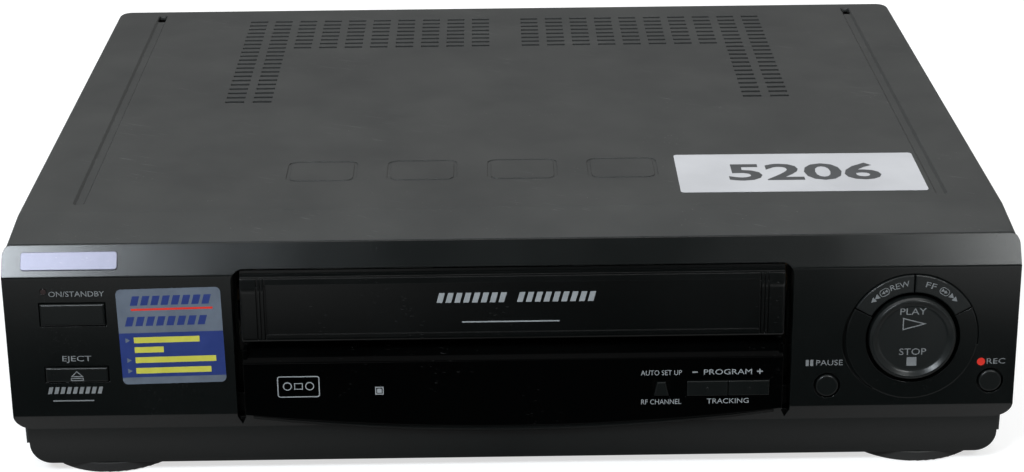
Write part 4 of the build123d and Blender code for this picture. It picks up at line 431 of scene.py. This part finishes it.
# which finish each CAD piece shows
dressed = {
    "coverPaint": ["top_cover"],
    "panelPlastic": ["front_panel"],
    "flapPlastic": ["cassette_flap"],
    "windowGloss": ["window_panel"],
    "buttonPlastic": [
        "power_button", "eject_button", "pause_button", "record_button",
        "setup_button", "program_down_button", "program_up_button",
    ],
    "ringPlastic": ["rewind_button", "fast_forward_button", "play_stop_rocker"],
    "darkLens": ["power_lamp"],
    "silverPlate": ["name_badge"],
    "printSilver": ["feature_label"],
    "labelPaper": ["number_label"],
    "smokedLens": ["remote_sensor"],
    "displayGlass": ["display_tube"],
    "boardLaminate": ["main_board", "supply_board"],
    "boardDark": ["front_board"],
    "chipPlastic": ["push_switches", "board_components"],
    "brightSteel": ["flap_spring", "capstan", "supply_guide", "takeup_guide", "sound_head", "erase_head"],
    "zincSteel": [
        "base_chassis", "rear_panel", "deck_plate", "cassette_holder", "holder_carriage", "holder_brackets",
        "idler_arm", "pinch_arm", "drum_rotor",
    ],
    "footPlastic": ["feet"],
    "blackSteel": ["cover_screws"],
    "varnishedIron": ["transformer"],
    "castAlloy": ["heat_sink"],
    "socketPlastic": ["mains_inlet", "scart_sockets"],
    "tinnedSteel": ["aerial_modulator", "loading_motor"],
    "creamPlastic": ["audio_sockets", "clutch", "cam_gear", "loading_worm"],
    "turnedAlloy": ["lower_drum", "upper_drum"],
    "mechanismBlack": ["supply_reel_table", "takeup_reel_table"],
    "softRubber": ["drive_belt", "idler_wheel", "pinch_roller"],
}
for finish, names in dressed.items():
    for name in names:
        mesh = nodes[name].data
        mesh.materials.clear()
        mesh.materials.append(skins[finish])
missing = set(nodes) - {name for names in dressed.values() for name in names}
print("CAD pieces dressed, without a finish:", sorted(missing))


# printing: raised words, signs and labels


def finishPiece(piece, place, finish, body):
    piece.matrix_world = place
    piece.data.materials.append(skins[finish])
    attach(piece, body)
    return piece


def buildPrint(name, loops, thick):
    # a thin raised print: a loop is a filled outline, or two outlines with the space between them filled
    mesh = bpy.data.meshes.new(name)
    work = bmesh.new()
    for loop in loops:
        if isinstance(loop[0][0], tuple):
            outer, inner = ([work.verts.new((x * mm, y * mm, 0.0)) for x, y in ring] for ring in loop)
            nextOuter, nextInner = outer[1:] + outer[:1], inner[1:] + inner[:1]
            sheets = [work.faces.new(corners) for corners in zip(outer, nextOuter, nextInner, inner)]
        else:
            sheets = [work.faces.new([work.verts.new((x * mm, y * mm, 0.0)) for x, y in loop])]
        raised = bmesh.ops.extrude_face_region(work, geom=sheets)["geom"]
        lifted = [part for part in raised if isinstance(part, bmesh.types.BMVert)]
        bmesh.ops.translate(work, verts=lifted, vec=(0, 0, thick * mm))
    bmesh.ops.recalc_face_normals(work, faces=work.faces)
    work.to_mesh(mesh)
    work.free()
    return mesh


def printShape(name, loops, place, finish, body, thick=0.02):
    piece = bpy.data.objects.new(name, buildPrint(name, loops, thick))
    bpy.context.collection.objects.link(piece)
    return finishPiece(piece, place, finish, body)


capitalShare = 0.72  # a capital's height over the letter size


def printWords(name, words, width, height, place, finish, body, weight=0.0, thick=0.02):
    # words as wide as width and with capitals as tall as height, in mm, centred on the place
    curve = bpy.data.curves.new(name, "FONT")
    curve.body = words
    curve.align_x = "CENTER"
    curve.align_y = "CENTER"
    curve.size = height * mm / capitalShare
    curve.offset = weight * mm
    curve.resolution_u = 3
    piece = bpy.data.objects.new(name, curve)
    bpy.context.collection.objects.link(piece)
    bpy.context.view_layer.update()
    stretch = width * mm / piece.dimensions.x
    curve.extrude = thick * mm / 2
    place = place @ Matrix.Diagonal((stretch, 1.0, 1.0, 1.0)) @ Matrix.Translation((0, 0, thick * mm / 2))
    return finishPiece(piece, place, finish, body)


def rectangle(x, y, width, height, lean=0.0):
    low, high = -height / 2, height / 2
    return [(x - width / 2 - lean / 2, y + low), (x + width / 2 - lean / 2, y + low),
            (x + width / 2 + lean / 2, y + high), (x - width / 2 + lean / 2, y + high)]


def rounded(x, y, width, height, radius, count=6):
    points = []
    for cornerX, cornerY, first in ((1, -1, -90), (1, 1, 0), (-1, 1, 90), (-1, -1, 180)):
        for step in range(count + 1):
            angle = math.radians(first + 90 * step / count)
            points.append((x + cornerX * (width / 2 - radius) + radius * math.cos(angle),
                           y + cornerY * (height / 2 - radius) + radius * math.sin(angle)))
    return points


def circle(x, y, radius, count=28):
    angles = [2 * math.pi * step / count for step in range(count)]
    return [(x + radius * math.cos(angle), y + radius * math.sin(angle)) for angle in angles]


def arrow(x, y, width, height, way=1):
    foot, tip = x - way * width / 2, x + way * width / 2
    return [(foot, y - height / 2), (tip, y), (foot, y + height / 2)]


def shrink(loop, amount):
    # the same triangle, drawn smaller about its own incentre
    sides = [math.dist(loop[1], loop[2]), math.dist(loop[2], loop[0]), math.dist(loop[0], loop[1])]
    total = sum(sides)
    centreX = sum(side * point[0] for side, point in zip(sides, loop)) / total
    centreY = sum(side * point[1] for side, point in zip(sides, loop)) / total
    doubled = abs((loop[1][0] - loop[0][0]) * (loop[2][1] - loop[0][1])
                  - (loop[2][0] - loop[0][0]) * (loop[1][1] - loop[0][1]))
    keep = 1 - amount / (doubled / total)
    return [(centreX + (x - centreX) * keep, centreY + (y - centreY) * keep) for x, y in loop]


# how far the printed pieces stand out of the leaning face or the cover, in mm
windowProud = 1.0
flapProud = 1.4
discProud = 1.5
keyProud = 0.9
labelProud = 0.12
printLift = 0.015

# plain function words: middle, width, capital height and how far proud, in mm
keyWords = {
    "onWord": ("ON/STANDBY", -162.6, 75.0, 20.7, 2.15, 0.0, "recorder", "front_panel"),
    "ejectWord": ("EJECT", -164.3, 49.3, 10.9, 2.25, 0.0, "recorder", "front_panel"),
    "pauseWord": ("PAUSE", 119.4, 43.6, 10.1, 2.25, 0.0, "recorder", "front_panel"),
    "recordWord": ("REC", 182.5, 43.4, 7.0, 2.25, 0.0, "recorder", "front_panel"),
    "setupWord": ("AUTO SET UP", 55.85, 40.9, 15.5, 2.1, windowProud, "recorder", "window_panel"),
    "channelWord": ("RF CHANNEL", 55.8, 29.1, 15.2, 2.1, windowProud, "recorder", "window_panel"),
    "programWord": ("PROGRAM", 81.0, 40.95, 18.2, 2.2, windowProud, "recorder", "window_panel"),
    "trackingWord": ("TRACKING", 81.25, 29.15, 15.9, 2.1, windowProud, "recorder", "window_panel"),
    "playWord": ("PLAY", 149.85, 64.35, 9.9, 2.7, discProud, "rocker", "play_stop_rocker"),
    "stopWord": ("STOP", 150.4, 48.3, 10.2, 2.7, discProud, "rocker", "play_stop_rocker"),
}
for name, (words, x, z, width, height, proud, body, slot) in keyWords.items():
    ink = "printGrey" if slot == "window_panel" else "printShade"
    printWords(name, words, width, height, facePlace(x, z, proud + printLift), ink, body)

# signs beside the words and on the keys
playArrow = arrow(0, 0, 9.1, 5.0)
ejectArrow = [(-2.4, -0.55), (2.4, -0.55), (0.0, 1.85)]
keySigns = {
    "pauseBars": (
        [rectangle(-0.85, 0, 1.15, 2.5), rectangle(0.85, 0, 1.15, 2.5)], 111.9, 43.7, 0.0, "recorder",
    ),
    "programSigns": (
        [rectangle(-12.4, 0, 2.0, 0.5), rectangle(12.1, 0, 2.2, 0.5), rectangle(12.1, 0.65, 0.5, 0.8),
         rectangle(12.1, -0.65, 0.5, 0.8)], 81.0, 41.1, windowProud, "recorder",
    ),
    "playSign": ([(playArrow, shrink(playArrow, 0.42))], 150.75, 59.55, discProud, "rocker"),
    "stopSign": ([rectangle(0, 0, 3.7, 3.5)], 150.2, 44.5, discProud, "rocker"),
    "ejectSign": (
        [(ejectArrow, shrink(ejectArrow, 0.34)),
         (rectangle(0, -1.55, 4.8, 1.15), rectangle(0, -1.55, 4.2, 0.55))], -164.4, 43.0, keyProud, "eject",
    ),
}
for name, (loops, x, z, proud, body) in keySigns.items():
    slot = {"rocker": "play_stop_rocker", "eject": "eject_button"}.get(body, "front_panel")
    ink = "printGrey" if name == "programSigns" else "printShade"
    printShape(name, loops, facePlace(x, z, proud + printLift), ink, body)
printShape("recordDot", [circle(0, 0, 1.55)], facePlace(176.9, 43.35, printLift), "printRed", "recorder")

# ring keys: word, ringed search sign and double arrow follow the arc
ring = {"x": 150.2, "z": 53.7, "radius": 21.5}


def ringPlace(angle):
    lean = math.radians(angle)
    x = ring["x"] - ring["radius"] * math.sin(lean)
    z = ring["z"] + ring["radius"] * math.cos(lean) * math.cos(faceTilt)
    return facePlace(x, z, keyProud + printLift, lean)


for body, slot, word, way, wordAngle, width in (
    ("rewind", "rewind_button", "REW", -1, 15.4, 7.4),
    ("fast_forward", "fast_forward_button", "FF", 1, -16.2, 4.0),
):
    printWords(f"{body}Word", word, width, 2.35, ringPlace(wordAngle), "printShade", body)
    pill = (rounded(0, 0, 3.9, 2.9, 1.3), rounded(0, 0, 3.4, 2.4, 1.05))
    small = [arrow(-0.6, 0, 1.2, 1.4, way), arrow(0.65, 0, 1.2, 1.4, way)]
    printShape(f"{body}Search", [pill, *small], ringPlace(-way * 31.6), "printShade", body)
    double = [arrow(-0.95, 0, 1.9, 2.2, way), arrow(0.95, 0, 1.9, 2.2, way)]
    printShape(f"{body}Sign", double, ringPlace(-way * 43.4), "printShade", body)
print("key lettering done")

# plain slanted stripes where the real one carries names
motif = {"bar": 2.1, "step": 3.3, "lean": 1.1, "height": 3.9}


def stripes(groups, scale=1.0):
    loops = []
    for first, count in groups:
        for step in range(count):
            x = (first + step * motif["step"]) * scale
            width, height, lean = (motif[part] * scale for part in ("bar", "height", "lean"))
            loops.append(rectangle(x, 0, width, height, lean))
    return loops


# on the window: a plain cassette outline and a small square
cassette = [
    (rounded(0, 0, 16.0, 8.6, 1.0), rounded(0, 0, 15.2, 7.8, 0.7)),
    (circle(-4.2, 0.2, 1.7), circle(-4.2, 0.2, 1.3)), (circle(4.2, 0.2, 1.7), circle(4.2, 0.2, 1.3)),
    (rectangle(0, 0.2, 3.2, 2.6), rectangle(0, 0.2, 2.6, 2.0)),
]
square = [(rectangle(0, 0, 3.2, 3.2), rectangle(0, 0, 2.4, 2.4)), rectangle(0, 0, 1.7, 1.7)]

plainPrints = {
    "flapMotif": (
        stripes(((-27.8, 8), (2.2, 9))), 0.9, 72.3, flapProud, "printGrey", "flap", "cassette_flap",
    ),
    "flapLine": ([rectangle(0, 0, 36.5, 0.5)], -0.9, 62.7, flapProud, "printGrey", "flap", "cassette_flap"),
    "cornerMotif": (stripes(((-13.2, 9),), 0.71), -165.6, 36.6, 0.0, "printShade", "recorder", "front_panel"),
    "cornerLine": ([rectangle(0, 0, 15.5, 0.5)], -166.6, 32.4, 0.0, "printShade", "recorder", "front_panel"),
    "windowCassette": (cassette, -81.3, 37.3, windowProud, "printGrey", "recorder", "window_panel"),
    "windowSquare": (square, -50.8, 35.3, windowProud, "printGrey", "recorder", "window_panel"),
}
for name, (loops, x, z, proud, finish, body, slot) in plainPrints.items():
    printShape(name, loops, facePlace(x, z, proud + printLift), finish, body)
print("stripes and window prints done")

# the square foil label: silver above and below a blue field, all plain shapes
foil = {"x": -128.2, "z": 58.0, "turn": math.radians(1.0), "width": 39.0, "ink": 0.01}
foilTop = foil["ink"] + 0.001  # what is printed over the blue field


def foilPlace(lift=0.0):
    return facePlace(foil["x"], foil["z"], labelProud + printLift + lift, foil["turn"])


def slantRow(first, last, y, height, count):
    # a row of slanted bars that fills the given width
    step = (last - first) / count
    middles = [first + step * (place + 0.5) for place in range(count)]
    return [rectangle(middle, y, step * 0.7, height, step * 0.3) for middle in middles]


def printFoil(name, loops, finish, lift=0.0):
    printShape(name, loops, foilPlace(lift), finish, "recorder", foil["ink"])


printFoil("foilBlue", [rectangle(0, -7.3, foil["width"], 17.8)], "printBlue")
blueRows = slantRow(-14.5, 16.0, 14.4, 3.7, 8) + slantRow(-17.0, 14.0, 6.2, 3.7, 8)
printFoil("foilStripes", blueRows, "printBlue")
printFoil("foilLine", [rectangle(1.0, 10.9, 30.5, 0.8)], "printRed")
yellowRows = {-1.3: (-14.1, 10.5), -5.2: (-14.1, -3.2), -9.3: (-14.1, 16.2), -13.6: (-14.2, 14.1)}
bars = [rectangle((low + high) / 2, y, high - low, 2.3) for y, (low, high) in yellowRows.items()]
printFoil("foilBars", bars, "printYellow", foilTop)
printFoil("foilBullets", [arrow(-16.4, y, 1.7, 2.0) for y in (-1.3, -9.3, -13.6)], "printSilver", foilTop)

# digits on the white label
digits = {"x": 116.6, "y": -82.2, "width": 60.5, "height": 17.2, "turn": math.radians(-0.4), "weight": 0.55}
digitsPlace = topPlace(digits["x"], digits["y"], labelProud + printLift, digits["turn"])
printWords("labelDigits", "5206", digits["width"], digits["height"], digitsPlace, "printDigits", "recorder",
           digits["weight"])
print("labels done")

# floor, light and camera

# each pair or four is a stretch of floor in metres and, after it, the strengths at its two ends
backdrop = {
    "size": 8.0, "low": 0.1, "grey": 0.5, "glow": 0.66, "paler": (0.8, 2.6), "front": (-0.205, -0.155),
    "across": (0.0, 0.2, 0.3, 0.85), "foot": (-0.172, -0.158, 1.0, 0.5), "farEdge": (-0.35, -0.50),
    "farLeft": (0.0, -0.12, 0.08, 0.62), "farRight": (0.17, 0.26, 0.0, 1.0),
}


def makeFloor():
    mesh = bpy.data.meshes.new("paleFloor")
    half = backdrop["size"] / 2
    level = -backdrop["low"] * mm
    corners = [(-half, -half, level), (half, -half, level), (half, half, level), (-half, half, level)]
    mesh.from_pydata(corners, [], [(0, 1, 2, 3)])
    floor = bpy.data.objects.new("paleFloor", mesh)
    bpy.context.collection.objects.link(floor)
    surface = bpy.data.materials.new("paleFloor")
    surface.use_nodes = True
    tree = surface.node_tree
    skin = tree.nodes["Principled BSDF"]
    skin.inputs["Roughness"].default_value = 0.9
    skin.inputs["Specular IOR Level"].default_value = 0.1
    path = tree.nodes.new("ShaderNodeLightPath").outputs
    # what gloss and glass see of it is painted light: a pool lit close round the recorder, shaded in front
    # and lit again further off, more to the left and right
    apart = addNode(tree, "ShaderNodeSeparateXYZ")
    spot = tree.nodes.new("ShaderNodeTexCoord").outputs["Object"]
    join(tree, spot, apart.inputs[0])
    reach = addNode(tree, "ShaderNodeVectorMath", operation="LENGTH")
    join(tree, spot, reach.inputs[0])
    paler = span(tree, reach.outputs["Value"], *backdrop["paler"], backdrop["glow"], 1.0)
    seen = maths(tree, "MULTIPLY", path["Is Camera Ray"], paler)
    aside, along = apart.outputs["X"], apart.outputs["Y"]
    close = maths(tree, "MULTIPLY", span(tree, along, *backdrop["front"]),
                  span(tree, maths(tree, "ABSOLUTE", aside), *backdrop["across"]))
    # the pool is halved right at the foot of the front: a painted contact shadow
    close = maths(tree, "MULTIPLY", close, span(tree, along, *backdrop["foot"]))
    sides = maths(tree, "ADD", span(tree, aside, *backdrop["farLeft"]),
                  span(tree, aside, *backdrop["farRight"]))
    beyond = maths(tree, "MULTIPLY", span(tree, along, *backdrop["farEdge"]), sides)
    mirrored = maths(tree, "MAXIMUM", path["Is Glossy Ray"], path["Is Transmission Ray"])
    grey = (backdrop["grey"],) * 3
    join(tree, mixColour(tree, mirrored, grey, (0.0, 0.0, 0.0)), skin.inputs["Base Color"])
    glow = maths(tree, "MULTIPLY", mirrored, maths(tree, "ADD", close, beyond))
    skin.inputs["Emission Color"].default_value = (1, 1, 1, 1)
    join(tree, maths(tree, "ADD", seen, glow), skin.inputs["Emission Strength"])
    mesh.materials.append(surface)


# the room grows lighter from the front to the back; both ends are the Y of a direction
room = {"front": -0.6, "back": 0.3, "dark": 0.045, "light": 0.34}


def makeWorld():
    world = bpy.data.worlds.new("paleRoom")
    bpy.context.scene.world = world
    world.use_nodes = True
    tree = world.node_tree
    sky = tree.nodes["Background"]
    sky.inputs["Color"].default_value = (1, 1, 1, 1)
    path = tree.nodes.new("ShaderNodeLightPath").outputs
    apart = addNode(tree, "ShaderNodeSeparateXYZ")
    join(tree, tree.nodes.new("ShaderNodeTexCoord").outputs["Generated"], apart.inputs[0])
    strength = span(tree, apart.outputs["Y"], room["front"], room["back"], room["dark"], room["light"])
    seen = path["Is Camera Ray"]
    hidden = maths(tree, "MULTIPLY", maths(tree, "SUBTRACT", 1.0, seen), strength)
    join(tree, maths(tree, "ADD", seen, hidden), sky.inputs["Strength"])


lampAim = (0.0, 0.0, 0.05)
lamps = {
    "leftBox": {"place": (-0.80, -1.2, 1.33), "size": (0.5, 0.5), "power": 23.0, "colour": (0.92, 1.0, 1.07)},
    "rightBox": {"place": (0.88, -1.2, 1.33), "size": (0.5, 0.5), "power": 11.5, "colour": (0.97, 1.0, 1.0)},
    "topBox": {"place": (0.0, 0.35, 2.1), "size": (2.4, 1.6), "power": 23.0, "colour": (1.0, 1.0, 1.0)},
}


def makeLamps():
    for name, lamp in lamps.items():
        light = bpy.data.lights.new(name, "AREA")
        light.shape = "RECTANGLE"
        light.size, light.size_y = lamp["size"]
        light.energy = lamp["power"]
        light.color = lamp["colour"]
        holder = bpy.data.objects.new(name, light)
        bpy.context.collection.objects.link(holder)
        holder.location = lamp["place"]
        aim = Vector(lampAim) - Vector(lamp["place"])
        holder.rotation_mode = "QUATERNION"
        holder.rotation_quaternion = aim.to_track_quat("-Z", "Y")


cameraSet = {"place": (-7.45, -872.5, 408.1), "down": 0.40525, "turn": 0.0101, "roll": -0.0089, "lens": 75.33}


def makeCamera():
    lensData = bpy.data.cameras.new("studioCamera")
    lensData.lens = cameraSet["lens"]
    lensData.sensor_width = 36.0
    lensData.clip_start = 0.01
    viewer = bpy.data.objects.new("studioCamera", lensData)
    bpy.context.collection.objects.link(viewer)
    down, turn, roll = cameraSet["down"], cameraSet["turn"], cameraSet["roll"]
    ahead = Vector((math.sin(turn) * math.cos(down), math.cos(turn) * math.cos(down), -math.sin(down)))
    right = Vector((math.cos(turn), -math.sin(turn), 0.0))
    upward = right.cross(ahead)
    sideways = right * math.cos(roll) + upward * math.sin(roll)
    top = upward * math.cos(roll) - right * math.sin(roll)
    stance = Matrix((sideways, top, -ahead)).transposed().to_4x4()
    viewer.matrix_world = Matrix.Translation(Vector(cameraSet["place"]) * mm) @ stance
    bpy.context.scene.camera = viewer


makeFloor()
makeWorld()
makeLamps()
makeCamera()
bpy.context.scene.view_settings.view_transform = "Standard"
print("stage ready")
